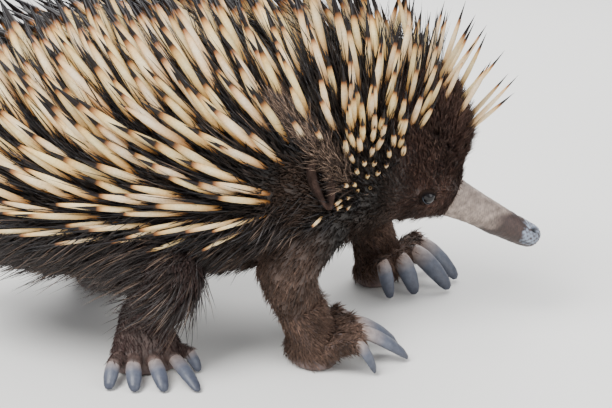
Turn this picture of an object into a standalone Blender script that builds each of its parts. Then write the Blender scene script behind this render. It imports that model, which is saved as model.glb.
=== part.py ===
"""A short-beaked echidna in mid walk, life size, as a still museum model.

The animal walks towards +X, its right side faces -Y, and it stands on the floor z = 0.
Stations, joints and digits are given in millimetres from a mark under the shoulders.
The finished nodes are moved together by SHIFT, which centres the model on the origin.
"""

import math
import random
from dataclasses import dataclass

import bmesh
import bpy
import numpy as np
from mathutils import Matrix, Vector
from mathutils.bvhtree import BVHTree

MM = 0.001
GAP = 0.3 * MM
SEED = 4
SHIFT = (55.5 * MM, 0.4 * MM, 0.0)


@dataclass(frozen=True)
class Station:
    """One section of a lofted form. Its plane is upright, or leans forward by some degrees."""

    x: float
    y: float
    z: float
    half_width: float
    half_height: float
    lean: float = 0.0


BODY = [
    Station(-194, 0, 83, 13, 14),
    Station(-185, 0, 87, 37, 34),
    Station(-158, 0, 95, 60, 52),
    Station(-115, 0, 100, 75, 62),
    Station(-65, 0, 103, 79, 64),
    Station(-15, 0, 105, 73, 60, 2),
    Station(20, 0, 106, 58, 55, 7),
    Station(38, 0, 106, 47, 49, 12),
    Station(56, 0.2, 104.5, 37, 43.8, 18.6),
    Station(69.5, 0.4, 94, 27, 33, 24),
    Station(75.5, 0.6, 83.5, 19, 21.7, 26),
    Station(79.5, 0.8, 75.2, 12, 12.5, 27),
]
BEAK = [
    Station(79.5, 0.8, 75.2, 10.6, 11.4, 27),
    Station(90, 1.4, 69.8, 9.2, 9.7, 27),
    Station(106, 2.5, 61.3, 7.5, 7.9, 27),
    Station(119, 3.7, 54.3, 6.5, 6.7, 27),
    Station(126.5, 4.4, 50.2, 5.7, 5.7, 27),
    Station(129.3, 4.7, 48.8, 3.3, 3.3, 27),
]
TAIL = [
    Station(-217, 0, 64, 3.2, 3.2, -42),
    Station(-211, 0, 69, 7, 7, -40),
    Station(-203, 0, 76, 10, 10.5, -26),
    Station(-194, 0, 83, 11.5, 12.5, 0),
]
SQUARENESS = 2.25
NECK_X = -30.0
HEAD_X = 4.0
BODY_SIDES = 26
BODY_STEP = 17.0
HEAD_STEP = 8.5

EYE_X = 70.0
EYE_ANGLE = 108.0
EYE_RADIUS = 4.5 * MM
EYE_SUNK = 1.6 * MM
LID_RADIUS = 1.3 * MM
LID_HALF_SIZES = (5.6 * MM, 4.6 * MM)

EAR_X = 13.0
EAR_ANGLE = 88.0
EAR_TILT = 28.0
EAR_OUTER = (8.5 * MM, 16.5 * MM, 7.5 * MM)
EAR_INNER = (5.2 * MM, 12.5 * MM, 5.4 * MM)
EAR_OPENING = (-1.8 * MM, 0.0, 6.8 * MM)

MOUTH_DEPTH = 0.8 * MM
MOUTH_WIDTH = 0.5 * MM
MOUTH_LENGTH = 9.0
MOUTH_DROP = 1.8 * MM
NOSTRIL_RADII = (1.5 * MM, 0.8 * MM, 1.2 * MM)

HOLLOW_CENTRE = (-4.0, 99.0)
HOLLOW_HALF = (21.0, 22.0)
EAR_BARE_CENTRE = (13.0, 104.0)
EAR_BARE_HALF = (11.0, 18.0)

HEM_AT = [-194, -160, 30, 50, 60, 70]
HEM_ANGLES = [96, 110, 110, 92, 62, 34]
SWEEP_AT = [0, 28, 60, 90, 112]
SWEEP_ANGLES = [0, 46, 36, 18, -14]
TURN_MORE_AT = [-194, -100, -60, 0, 30, 60]
TURN_MORE = [12, 6, 0, 16, 34, 52]
RISE_AT = [-194, -150, -20, 20, 70]
RISE_ON_BACK = [52, 36, 36, 52, 56]
RISE_ON_FLANK = [34, 19, 20, 34, 46]
LENGTH_AT = [-194, -150, 0, 70]
LENGTH_ON_BACK = [40, 52, 50, 40]
LENGTH_ON_FLANK = [38, 48, 30, 17]
SPINE_RADIUS = 2.05 * MM
SPINE_SUNK = 5.0 * MM
SPINE_DROOP = 0.03
ROW_STEP = 13.5
SIDE_STEP = 13.5
HEAD_SIDE_STEP = 11.5
TAIL_SPINES = 13
TRIES = 7

LOCK_THICKNESS = 1.2 * MM
LOCK_WIDTH = 3.6 * MM
LEG_LOCKS = 18
SKIRT_LOCKS = 11


@dataclass(frozen=True)
class Digit:
    """One toe: its offset and turn across the foot, its reach, and its claw's length and width."""

    offset: float
    turn: float
    toe: float
    claw: float
    half_width: float


FORE_DIGITS = (
    Digit(19.6, 24, 18, 18, 3.8),
    Digit(10.6, 10, 24, 29, 4.8),
    Digit(0.0, 0, 25, 29, 4.9),
    Digit(-10.6, -10, 22, 22, 4.6),
    Digit(-19.6, -24, 16, 15, 3.7),
)
HIND_DIGITS = (
    Digit(-14.5, -26, 14, 10, 3.0),
    Digit(-7.6, -12, 17, 26, 3.4),
    Digit(0.0, 0, 18, 19, 3.5),
    Digit(7.8, 12, 17, 16, 3.5),
    Digit(15.0, 26, 14, 14, 3.3),
)
PALM_HALF_ACROSS = 18.5
PALM_HALF_ALONG = 13.0
PALM_RISE = 14.0


@dataclass(frozen=True)
class Limb:
    """A leg as joints and radii from inside the body to the wrist or ankle, and its foot."""

    leg: str
    foot: str
    side: int
    joints: tuple
    radii: tuple
    palm: tuple
    heading: float
    toe_height: float
    digits: tuple


LIMBS = [
    Limb("fore_leg_r", "fore_foot_r", -1, ((8, -30, 80), (-9, -52, 55), (-3, -50, 30)),
         (22, 18, 13), (3, -49), 20, 17, FORE_DIGITS),
    Limb("fore_leg_l", "fore_foot_l", 1, ((12, 28, 82), (21, 60, 60), (39, 67, 33)),
         (24, 19, 13.5), (44, 68), -25, 21, FORE_DIGITS),
    Limb("hind_leg_r", "hind_foot_r", -1, ((-104, -38, 80), (-74, -62, 56), (-84, -57, 27)),
         (28, 23, 13.5), (-84, -58), -70, 9, HIND_DIGITS),
    Limb("hind_leg_l", "hind_foot_l", 1, ((-112, 37, 80), (-106, 61, 56), (-120, 58, 27)),
         (28, 23, 13.5), (-120, 59), 76, 9, HIND_DIGITS),
]
LIMB_SIDES = 12
LIMB_ROWS = 9


def clear_scene():
    """Removes every object that the file opened with."""
    for thing in list(bpy.data.objects):
        bpy.data.objects.remove(thing, do_unlink=True)


def new_collection(name):
    """A collection linked to the scene."""
    made = bpy.data.collections.new(name)
    bpy.context.scene.collection.children.link(made)
    return made


def material(name, colour, roughness):
    """A plain Principled finish."""
    made = bpy.data.materials.new(name)
    made.use_nodes = True
    shader = made.node_tree.nodes["Principled BSDF"]
    shader.inputs["Base Color"].default_value = (*colour, 1.0)
    shader.inputs["Roughness"].default_value = roughness
    return made


def unit(vector):
    """The vector at length one."""
    vector = np.asarray(vector, float)
    return vector / np.linalg.norm(vector)


def placed(x, y, z):
    """A point given in millimetres, in metres."""
    return np.array((x, y, z)) * MM


def smooth(table, place):
    """The Catmull-Rom curve through the rows of a table, at a place counted in rows."""
    last = len(table) - 1
    row = int(min(max(math.floor(place), 0), last - 1))
    share = place - row
    before, start = table[max(row - 1, 0)], table[row]
    end, after = table[row + 1], table[min(row + 2, last)]
    bend = 2 * before - 5 * start + 4 * end - after
    return 0.5 * (2 * start + (end - before) * share + bend * share**2
                  + (3 * start - before - 3 * end + after) * share**3)


class Form:
    """A lofted form: superellipse sections through a smooth row of stations."""

    def __init__(self, stations, squareness=2.0):
        self.table = np.array([
            [*placed(s.x, s.y, s.z), s.half_width * MM, s.half_height * MM, math.radians(s.lean)]
            for s in stations
        ])
        self.power = 2 / squareness
        self.last = len(stations) - 1
        self.places = np.linspace(0, self.last, 400)
        line = np.array([smooth(self.table, p)[:3] for p in self.places])
        self.line_x = line[:, 0] / MM
        steps = np.linalg.norm(np.diff(line, axis=0), axis=1) / MM
        self.run = np.concatenate([[0], np.cumsum(steps)])

    def frame(self, place):
        """Centre, forward, right and up directions, half width and half height."""
        row = smooth(self.table, place)
        forward = np.array((math.cos(row[5]), 0, -math.sin(row[5])))
        up = np.array((math.sin(row[5]), 0, math.cos(row[5])))
        return row[:3], forward, np.array((0, -1, 0)), up, row[3], row[4]

    def point(self, place, angle, grow=0.0):
        """The surface at an angle from the back, positive towards the animal's right."""
        centre, _, right, up, half_width, half_height = self.frame(place)
        side, top = math.sin(math.radians(angle)), math.cos(math.radians(angle))
        across = math.copysign(abs(side) ** self.power, side) * (half_width + grow)
        above = math.copysign(abs(top) ** self.power, top) * (half_height + grow)
        return centre + right * across + up * above

    def along(self, place, angle):
        """The direction of the surface towards the front."""
        step = 0.03
        ahead = self.point(min(place + step, self.last), angle)
        return unit(ahead - self.point(max(place - step, 0), angle))

    def normal(self, place, angle):
        """The outward direction of the surface."""
        turn = 2.0
        around = self.point(place, angle + turn) - self.point(place, angle - turn)
        return unit(np.cross(around, self.along(place, angle)))

    def place_at(self, x):
        """The place where the centre line is at x, in millimetres from the mark."""
        return float(np.interp(x, self.line_x, self.places))

    def x_at(self, place):
        """The centre line's x in millimetres from the mark."""
        return float(np.interp(place, self.places, self.line_x))

    def stops(self, start, end, step):
        """Places from start to end at about the given step in millimetres."""
        low, high = np.interp((start, end), self.places, self.run)
        count = max(2, round((high - low) / step) + 1)
        return np.interp(np.linspace(low, high, count), self.run, self.places)

    def rings(self, start, end, sides, step, start_gap=0.0, end_gap=0.0, grow=0.0):
        """Sections from start to end. The first and last are moved inwards by their gaps."""
        rows = []
        places = self.stops(start, end, step)
        for place in places:
            forward = self.frame(place)[1]
            shift = start_gap * (place == places[0]) - end_gap * (place == places[-1])
            angles = [360 * i / sides for i in range(sides)]
            rows.append([self.point(place, a, grow) + forward * shift for a in angles])
        return rows


def ring_about(centre, direction, side, half_side, half_other, count):
    """An ellipse of points square to a direction, its first axis along side."""
    direction = unit(direction)
    side = unit(np.asarray(side) - direction * np.dot(side, direction))
    other = np.cross(direction, side)
    turns = [2 * math.pi * i / count for i in range(count)]
    return [centre + side * half_side * math.cos(t) + other * half_other * math.sin(t)
            for t in turns]


def face_outwards(shape):
    """Turns the faces of a closed bmesh outwards, by the sign of its volume."""
    bmesh.ops.recalc_face_normals(shape, faces=shape.faces)
    if shape.calc_volume(signed=True) < 0:
        bmesh.ops.reverse_faces(shape, faces=shape.faces)


def finish(shape, name, collection, look=None):
    """Turns a bmesh into a named object of a collection."""
    face_outwards(shape)
    mesh = bpy.data.meshes.new(name)
    shape.to_mesh(mesh)
    shape.free()
    if look is not None:
        mesh.materials.append(look)
    made = bpy.data.objects.new(name, mesh)
    collection.objects.link(made)
    return made


def loft(name, rings, collection, look=None, tip=None):
    """A closed mesh through rings of equal count, capped flat, or drawn to a tip."""
    shape = bmesh.new()
    rows = [[shape.verts.new(p) for p in ring] for ring in rings]
    sides = len(rows[0])
    for low, high in zip(rows, rows[1:]):
        for i in range(sides):
            j = (i + 1) % sides
            shape.faces.new((low[i], low[j], high[j], high[i]))
    shape.faces.new(rows[0][::-1])
    if tip is None:
        shape.faces.new(rows[-1])
    else:
        point = shape.verts.new(tip)
        for i in range(sides):
            shape.faces.new((rows[-1][i], rows[-1][(i + 1) % sides], point))
    bmesh.ops.triangulate(shape, faces=shape.faces)
    return finish(shape, name, collection, look)


def ball(name, centre, radii, axes, collection, look=None, segments=16, rows=10):
    """An ellipsoid whose half sizes lie along three given axes."""
    shape = bmesh.new()
    bmesh.ops.create_uvsphere(shape, u_segments=segments, v_segments=rows, radius=1.0)
    turn = np.array(axes, float).T * np.array(radii, float)
    for corner in shape.verts:
        corner.co = turn @ np.array(corner.co) + np.array(centre)
    return finish(shape, name, collection, look)


def block(name, centre, half_sizes, axes, collection):
    """A box whose three half sizes lie along three given axes."""
    shape = bmesh.new()
    bmesh.ops.create_cube(shape, size=2.0)
    turn = np.array(axes, float).T * np.array(half_sizes, float)
    for corner in shape.verts:
        corner.co = turn @ np.array(corner.co) + np.array(centre)
    return finish(shape, name, collection)


def ring_tube(name, centre, half_sizes, thickness, axes, collection):
    """An oval ring, round in section, that lies across the third of three given axes."""
    bpy.ops.mesh.primitive_torus_add(major_segments=14, minor_segments=6, major_radius=1.0,
                                     minor_radius=thickness / min(half_sizes))
    made = bpy.context.object
    made.name = name
    turn = np.array(axes, float).T * np.array((*half_sizes, min(half_sizes)))
    for corner in made.data.vertices:
        corner.co = turn @ np.array(corner.co) + np.array(centre)
    for user in list(made.users_collection):
        user.objects.unlink(made)
    collection.objects.link(made)
    shape = bmesh.new()
    shape.from_mesh(made.data)
    face_outwards(shape)
    shape.to_mesh(made.data)
    shape.free()
    return made


def keep_largest(thing):
    """Drops every loose scrap of a mesh but its largest closed surface."""
    shape = bmesh.new()
    shape.from_mesh(thing.data)
    left = set(shape.verts)
    groups = []
    while left:
        stack = [left.pop()]
        group = set(stack)
        while stack:
            for edge in stack.pop().link_edges:
                for corner in edge.verts:
                    if corner in left:
                        left.remove(corner)
                        group.add(corner)
                        stack.append(corner)
        groups.append(group)
    groups.sort(key=len)
    scraps = [corner for group in groups[:-1] for corner in group]
    bmesh.ops.delete(shape, geom=scraps, context="VERTS")
    face_outwards(shape)
    shape.to_mesh(thing.data)
    shape.free()


def combine(thing, pieces, operation):
    """Applies one Boolean with a list of closed pieces, which are then removed."""
    holder = new_collection(thing.name + "_pieces")
    for piece in pieces:
        for user in list(piece.users_collection):
            user.objects.unlink(piece)
        holder.objects.link(piece)
    change = thing.modifiers.new(operation.lower(), "BOOLEAN")
    change.operand_type = "COLLECTION"
    change.collection = holder
    change.operation = operation
    change.solver = "MANIFOLD"
    graph = bpy.context.evaluated_depsgraph_get()
    result = bpy.data.meshes.new_from_object(thing.evaluated_get(graph))
    thing.modifiers.clear()
    thing.data = result
    for piece in pieces:
        bpy.data.objects.remove(piece, do_unlink=True)
    bpy.data.collections.remove(holder)
    keep_largest(thing)


@dataclass
class Strand:
    """A spine or a lock: its centre points, its half sizes at each, and the side it is flat to."""

    points: np.ndarray
    wide: np.ndarray
    thick: np.ndarray
    side: np.ndarray

    def samples(self):
        """Points about every 1.5 mm along the strand, with the half size there."""
        found = []
        sizes = np.maximum(self.wide, self.thick)
        for a, b, wa, wb in zip(self.points, self.points[1:], sizes, sizes[1:]):
            count = max(2, int(np.linalg.norm(b - a) / (1.5 * MM)))
            found += [[*(a + (b - a) * s), wa + (wb - wa) * s] for s in np.linspace(0, 1, count)]
        return np.array(found)

    def build(self, name, collection):
        """The strand as a closed four-sided form that ends in a point."""
        rings = []
        for i in range(len(self.points) - 1):
            ahead = self.points[i + 1] - self.points[max(i - 1, 0)]
            rings.append(ring_about(self.points[i], ahead, self.side,
                                    self.wide[i], self.thick[i], 4))
        return loft(name, rings, collection, tip=self.points[-1])


class Room:
    """The nodes and strands that a new strand must keep clear of."""

    def __init__(self):
        self.trees = {}
        self.strands = {}

    def add_node(self, thing):
        """Notes a finished node's surface, in an order that is the same on every run."""
        places = [tuple(round(value, 7) for value in corner.co) for corner in thing.data.vertices]
        corners = sorted(set(places))
        rank = {place: number for number, place in enumerate(corners)}
        faces = []
        for face in thing.data.polygons:
            loop = [rank[places[i]] for i in face.vertices]
            first = loop.index(min(loop))
            faces.append(tuple(loop[first:] + loop[:first]))
        self.trees[thing.name] = BVHTree.FromPolygons(corners, sorted(faces))

    def add_strand(self, owner, strand):
        """Notes a strand of a node."""
        self.strands.setdefault(owner, []).append(strand.samples())

    def clear(self, strand, owner):
        """Whether a strand keeps its gap to all that isn't its own node."""
        samples = strand.samples()
        reach = 8 * MM
        for name, tree in self.trees.items():
            if name == owner:
                continue
            for x, y, z, size in samples:
                spot, normal, _, apart = tree.find_nearest(Vector((x, y, z)), 30 * MM)
                if spot is None:
                    continue
                inside = (Vector((x, y, z)) - spot).dot(normal) < 0
                if inside or apart < size + 1.4 * GAP:
                    return False
        low, high = samples[:, :3].min(0) - reach, samples[:, :3].max(0) + reach
        for name, others in self.strands.items():
            if name == owner:
                continue
            near = np.concatenate(others)
            near = near[((near[:, :3] > low) & (near[:, :3] < high)).all(1)]
            if not len(near):
                continue
            apart = np.linalg.norm(samples[:, None, :3] - near[None, :, :3], axis=2)
            if (apart < samples[:, None, 3] + near[None, :, 3] + 2 * GAP).any():
                return False
        return bool((samples[:, 2] > samples[:, 3] + GAP).all())


def spine(root, direction, length, radius):
    """A spine that swells above its root, droops slightly and tapers to a point."""
    direction = unit(direction)
    stops = np.array([-SPINE_SUNK, 0.28 * length, length])
    sag = np.array([0.0, 0.1, 1.0]) * SPINE_DROOP * length
    points = root + direction * stops[:, None] - np.outer(sag, (0, 0, 1))
    sizes = radius * np.array([0.75, 1.0, 0.0])
    return Strand(points, sizes, sizes, np.cross(direction, (0.3, 0.2, 1.0)))


def lock(root, normal, lie, length, width, lift):
    """A flat tapered lock of hair that leaves the skin along its lie and bends down."""
    lie = unit(lie - normal * np.dot(lie, normal))
    side = np.cross(normal, lie)
    stops = np.array([-0.16, 0.12, 0.55, 1.0])
    lifts = np.array([-0.17, 0.07, 0.19, 0.2]) + np.array([0, 0, 0.5, 1.0]) * lift
    fall = np.array([0, 0, 0.03, 0.12])
    points = (root + np.outer(stops, lie) * length + np.outer(lifts, normal) * length
              - np.outer(fall, (0, 0, 1)) * length)
    shares = np.array([0.8, 1.0, 0.8, 0.0])
    return Strand(points, width * shares, LOCK_THICKNESS * np.array([1, 1, 0.8, 0]), side)


class Coat:
    """Where the spines grow, which way they lie, and how long they are."""

    def __init__(self, body, room):
        self.body = body
        self.room = room
        self.draw = random.Random(SEED)

    @staticmethod
    def bare(point):
        """Whether a root would fall in the hollow of the shoulder, or on the ear."""
        x, z = point[0] / MM, point[2] / MM
        for centre, half in ((HOLLOW_CENTRE, HOLLOW_HALF), (EAR_BARE_CENTRE, EAR_BARE_HALF)):
            if math.hypot((x - centre[0]) / half[0], (z - centre[1]) / half[1]) < 1:
                return True
        return False

    @staticmethod
    def between(x, angle, table_x, on_back, on_flank):
        """A size read along the body, shared between the back and the flank by the angle."""
        share = np.interp(abs(angle), (25, 90), (0, 1))
        return np.interp(x, table_x, on_back) * (1 - share) + np.interp(x, table_x, on_flank) * share

    def aim(self, place, angle, turn_more, rise_more):
        """The direction of a spine: backwards, towards the ridge of the back, and outwards."""
        x = self.body.x_at(place)
        normal, along = self.body.normal(place, angle), self.body.along(place, angle)
        to_back = np.cross(normal, along) * (1 if angle > 0 else -1)
        swept = np.interp(abs(angle), SWEEP_AT, SWEEP_ANGLES)
        swept += np.interp(x, TURN_MORE_AT, TURN_MORE) * min(abs(angle) / 20, 1)
        turn = math.radians(float(swept) + turn_more)
        rise = math.radians(self.between(x, angle, RISE_AT, RISE_ON_BACK, RISE_ON_FLANK) + rise_more)
        lie = to_back * math.sin(turn) - along * math.cos(turn)
        return normal * math.sin(rise) + lie * math.cos(rise)

    def grow(self, owner, place, angle):
        """A spine at a place, turned and raised until it is clear, or None."""
        x = self.body.x_at(place)
        root = self.body.point(place, angle)
        length = self.between(x, angle, LENGTH_AT, LENGTH_ON_BACK, LENGTH_ON_FLANK)
        length *= self.draw.uniform(0.84, 1.08) * MM
        girth = SPINE_RADIUS * (0.55 + 0.45 * length / (LENGTH_ON_BACK[1] * MM))
        for attempt in range(TRIES):
            turn = self.draw.uniform(-7, 7)
            raised = self.draw.uniform(-4, 4) + 5 * attempt
            one = spine(root, self.aim(place, angle, turn, raised), length, girth)
            if self.room.clear(one, owner):
                self.room.add_strand(owner, one)
                return one
        return None

    def spines(self, owner, start_x, end_x, side_step):
        """The spines rooted between two stretches of the body, in staggered rows."""
        body, made = self.body, []
        rows = body.stops(body.place_at(start_x), body.place_at(end_x), ROW_STEP)
        for number, (low, high) in enumerate(zip(rows, rows[1:])):
            place = (low + high) / 2
            _, _, _, _, half_width, half_height = body.frame(place)
            hem = float(np.interp(body.x_at(place), HEM_AT, HEM_ANGLES))
            arc = math.radians(hem) * (half_width + half_height) / MM
            count = max(3, round(arc / side_step))
            step = 2 * hem / count
            for i in range(count):
                share = i + 0.5 + (0.25 if number % 2 else -0.25)
                angle = -hem + step * (share + self.draw.uniform(-0.16, 0.16))
                spot = place + self.draw.uniform(-0.2, 0.2) * (high - low)
                if not self.bare(body.point(spot, angle)):
                    made.append(self.grow(owner, spot, angle))
        return [one for one in made if one is not None]

    def tail_spines(self, tail, owner):
        """A fan of spines round the tail's stub."""
        made = []
        for i in range(TAIL_SPINES):
            angle = -130 + 260 * i / (TAIL_SPINES - 1)
            place = 1.1 + 0.9 * (i % 2) * 0.8
            normal = tail.normal(place, angle)
            aim = normal * 0.55 + np.array((-0.85, 0, 0.12 if abs(angle) < 90 else -0.1))
            one = spine(tail.point(place, angle), aim, self.draw.uniform(24, 31) * MM, 1.6 * MM)
            if self.room.clear(one, owner):
                self.room.add_strand(owner, one)
                made.append(one)
        return made

    def skirt(self, owner, side):
        """Locks of bristle below the hem of the spines, over the thigh."""
        made = []
        for i in range(SKIRT_LOCKS):
            x = -168 + 118 * i / (SKIRT_LOCKS - 1)
            angle = side * (116 + 5 * (i % 2) + self.draw.uniform(-1, 1))
            place = self.body.place_at(x)
            normal = self.body.normal(place, angle)
            length = self.draw.uniform(24, 31) * MM
            for attempt in range(TRIES):
                lie = np.array((-0.9, 0, -0.3 + self.draw.uniform(-0.1, 0.1)))
                one = lock(self.body.point(place, angle), normal, lie, length, LOCK_WIDTH,
                           0.06 + 0.1 * attempt)
                if self.room.clear(one, owner):
                    self.room.add_strand(owner, one)
                    made.append(one)
                    break
        return made


class Leg:
    """A leg as a smooth tube from inside the body to its wrist or ankle."""

    def __init__(self, limb):
        self.limb = limb
        points = np.array([placed(*joint) for joint in limb.joints])
        self.table = np.column_stack([points, np.array(limb.radii) * MM])
        self.last = len(limb.joints) - 1

    def frame(self, place):
        """Centre, direction towards the foot, outward side and radius."""
        row = smooth(self.table, place)
        step = 0.02
        ahead = smooth(self.table, min(place + step, self.last))
        behind = smooth(self.table, max(place - step, 0))
        direction = unit(ahead[:3] - behind[:3])
        outward = np.array((0, self.limb.side, 0.0))
        return row[:3], direction, unit(outward - direction * np.dot(outward, direction)), row[3]

    def rings(self):
        """The tube's sections."""
        rows = []
        for i in range(LIMB_ROWS):
            centre, direction, outward, radius = self.frame(self.last * i / (LIMB_ROWS - 1))
            rows.append(ring_about(centre, direction, outward, radius, radius, LIMB_SIDES))
        return rows

    def locks(self, coat, owner):
        """Locks of bristle that stream down and back over the outside of the leg."""
        made = []
        for i in range(LEG_LOCKS):
            place = 0.55 + 1.15 * i / (LEG_LOCKS - 1)
            centre, direction, outward, radius = self.frame(place)
            turn = math.radians((-55, 5, 60)[i % 3] + coat.draw.uniform(-8, 8))
            normal = outward * math.cos(turn) + np.cross(direction, outward) * math.sin(turn)
            length = coat.draw.uniform(19, 25) * MM
            for attempt in range(TRIES):
                lie = np.array((-0.75, 0.0, -0.6)) + direction * 0.2
                one = lock(centre + normal * radius, normal, lie, length, LOCK_WIDTH,
                           0.04 + 0.09 * attempt)
                if coat.room.clear(one, owner):
                    coat.room.add_strand(owner, one)
                    made.append(one)
                    break
        return made


def dress(thing, strands, helpers):
    """Fuses strands to the node that they grow from."""
    if strands:
        pieces = [s.build(f"{thing.name}_strand_{i}", helpers) for i, s in enumerate(strands)]
        combine(thing, pieces, "UNION")


def heading_vectors(degrees, side):
    """The level direction of a foot or digit, and the level direction across it."""
    turn = math.radians(degrees)
    along = np.array((math.cos(turn), math.sin(turn), 0.0))
    return along, np.array((-along[1], along[0], 0.0)) * side


def palm_rings(limb, leg):
    """Sections from the wrist down to the flat sole, point for point in the same turn."""
    wrist, down, outward, radius = leg.frame(leg.last)
    along, across = heading_vectors(limb.heading, limb.side)
    palm = placed(*limb.palm, 0)
    rings = [ring_about(wrist + down * GAP, down, outward, radius, radius, LIMB_SIDES)]
    levels = [unit((*(point - wrist - down * GAP)[:2], 0)) for point in rings[0]]
    for height, share in ((PALM_RISE, 0.92), (0.35 * PALM_RISE, 1.0), (0.0, 0.86)):
        reach = [share * MM / math.hypot(np.dot(level, along) / PALM_HALF_ALONG,
                                         np.dot(level, across) / PALM_HALF_ACROSS)
                 for level in levels]
        lifted = palm + np.array((0, 0, height * MM))
        rings.append([lifted + level * r for level, r in zip(levels, reach)])
    return rings


def build_foot(limb, leg, model, helpers, looks):
    """The palm on its flat sole, the five toes joined to it, and a claw beyond each toe."""
    along, across = heading_vectors(limb.heading, limb.side)
    palm, up = placed(*limb.palm, 0), np.array((0, 0, 1.0))
    foot = loft(limb.foot, palm_rings(limb, leg), model, looks["skin"])
    toes = []
    for number, digit in enumerate(limb.digits, 1):
        ahead, aside = heading_vectors(limb.heading + limb.side * digit.turn, limb.side)
        root = palm + across * digit.offset * 0.72 * MM + up * (PALM_RISE - 5) * MM
        end = palm + across * digit.offset * MM + ahead * digit.toe * MM
        end = end + up * limb.toe_height * MM
        width = digit.half_width * MM
        middle = (root + end) / 2 + up * 1.5 * MM
        slope = unit(ahead - up * 0.25)
        toes.append(loft(f"{limb.foot}_toe_{number}", [
            ring_about(root, end - root, aside, width, width, 8),
            ring_about(middle, end - root, aside, width * 1.1, width * 1.15, 8),
            ring_about(end, slope, aside, width * 1.05, width * 1.05, 8),
        ], helpers))
        build_claw(limb, number, digit, end + slope * GAP, ahead, aside, slope, model, looks)
    combine(foot, toes, "UNION")


def build_claw(limb, number, digit, start, ahead, aside, slope, model, looks):
    """A claw that curves from the toe's end down to just above the floor."""
    drop = start[2] - 0.9 * MM
    length = digit.claw * MM
    run = math.sqrt(max(length**2 - drop**2, (0.35 * length) ** 2))
    width = digit.half_width * MM
    stops = (0.0, 0.3, 0.6, 0.86, 1.0)
    line = [start + ahead * run * s - np.array((0, 0, 1)) * drop * s**1.3 for s in stops]
    wide = (0.98, 1.0, 0.92, 0.68)
    thick = (0.98, 0.8, 0.6, 0.36)
    rings = [ring_about(line[0], slope, aside, width * wide[0], width * thick[0], 8)]
    for i in (1, 2, 3):
        rings.append(ring_about(line[i], line[i + 1] - line[i - 1], aside,
                                width * wide[i], width * thick[i], 8))
    loft(f"{limb.foot}_claw_{number}", rings, model, looks["claw"], tip=line[4])


def surface_axes(body, place, angle, tilt=0.0):
    """The front, the cross and the outward directions of the surface, turned by a tilt."""
    normal, along = body.normal(place, angle), body.along(place, angle)
    across, turn = np.cross(normal, along), math.radians(tilt)
    front = along * math.cos(turn) + across * math.sin(turn)
    return front, across * math.cos(turn) - along * math.sin(turn), normal


def build_ear(body, side, model, helpers, looks, grown):
    """The cup of an ear: a low fold of skin round a slit that opens backwards."""
    place, angle = body.place_at(EAR_X), EAR_ANGLE * -side
    root, axes = body.point(place, angle), surface_axes(body, place, angle, EAR_TILT * -side)
    name = "ear_l" if side > 0 else "ear_r"
    ear = ball(name, root, EAR_OUTER, axes, model, looks["skin"], 14, 8)
    shift = sum(axis * reach for axis, reach in zip(axes, EAR_OPENING))
    opening = ball(name + "_opening", root + shift, EAR_INNER, axes, helpers, None, 14, 8)
    combine(ear, [opening, grown(name + "_seat")], "DIFFERENCE")


def build_eye(body, head, side, model, helpers, looks):
    """The eyeball in its socket, and the rims of the two lids on the head."""
    place, angle = body.place_at(EYE_X), EYE_ANGLE * -side
    root, axes = body.point(place, angle), surface_axes(body, place, angle)
    centre = root - axes[2] * EYE_SUNK
    name = "eye_l" if side > 0 else "eye_r"
    lids = ring_tube(name + "_lids", root, LID_HALF_SIZES, LID_RADIUS, axes, helpers)
    combine(head, [lids], "UNION")
    radius = EYE_RADIUS + GAP
    combine(head, [ball(name + "_socket", centre, (radius,) * 3, axes, helpers)], "DIFFERENCE")
    ball(name, centre, (EYE_RADIUS,) * 3, axes, model, looks["eye"], 14, 8)


def build_beak(model, helpers, looks):
    """The bare beak, with the line of the mouth and its lips at the tip, and two nostrils."""
    form = Form(BEAK)
    beak = loft("beak", form.rings(0, form.last, 16, 7.0, start_gap=GAP), model, looks["beak"])
    tip, forward, right, up, _, _ = form.frame(form.last)
    back = form.place_at(BEAK[-1].x - MOUTH_LENGTH)
    half_length = MOUTH_LENGTH / 2 * MM
    sheet = block("mouth_sheet", tip - up * MOUTH_DROP - forward * half_length * 0.8,
                  (half_length, 9 * MM, MOUTH_WIDTH / 2), (forward, right, up), helpers)
    core = loft("mouth_core", form.rings(back - 0.8, form.last, 16, 3.0,
                                         end_gap=MOUTH_DEPTH, grow=-MOUTH_DEPTH), helpers)
    combine(sheet, [core], "DIFFERENCE")
    pits = [sheet]
    for side in (-1, 1):
        spot = form.point(form.place_at(126.0), 30 * side)
        pits.append(ball(f"nostril_{side}", spot, NOSTRIL_RADII, (forward, right, up),
                         helpers, None, 8, 6))
    combine(beak, pits, "DIFFERENCE")


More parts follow.
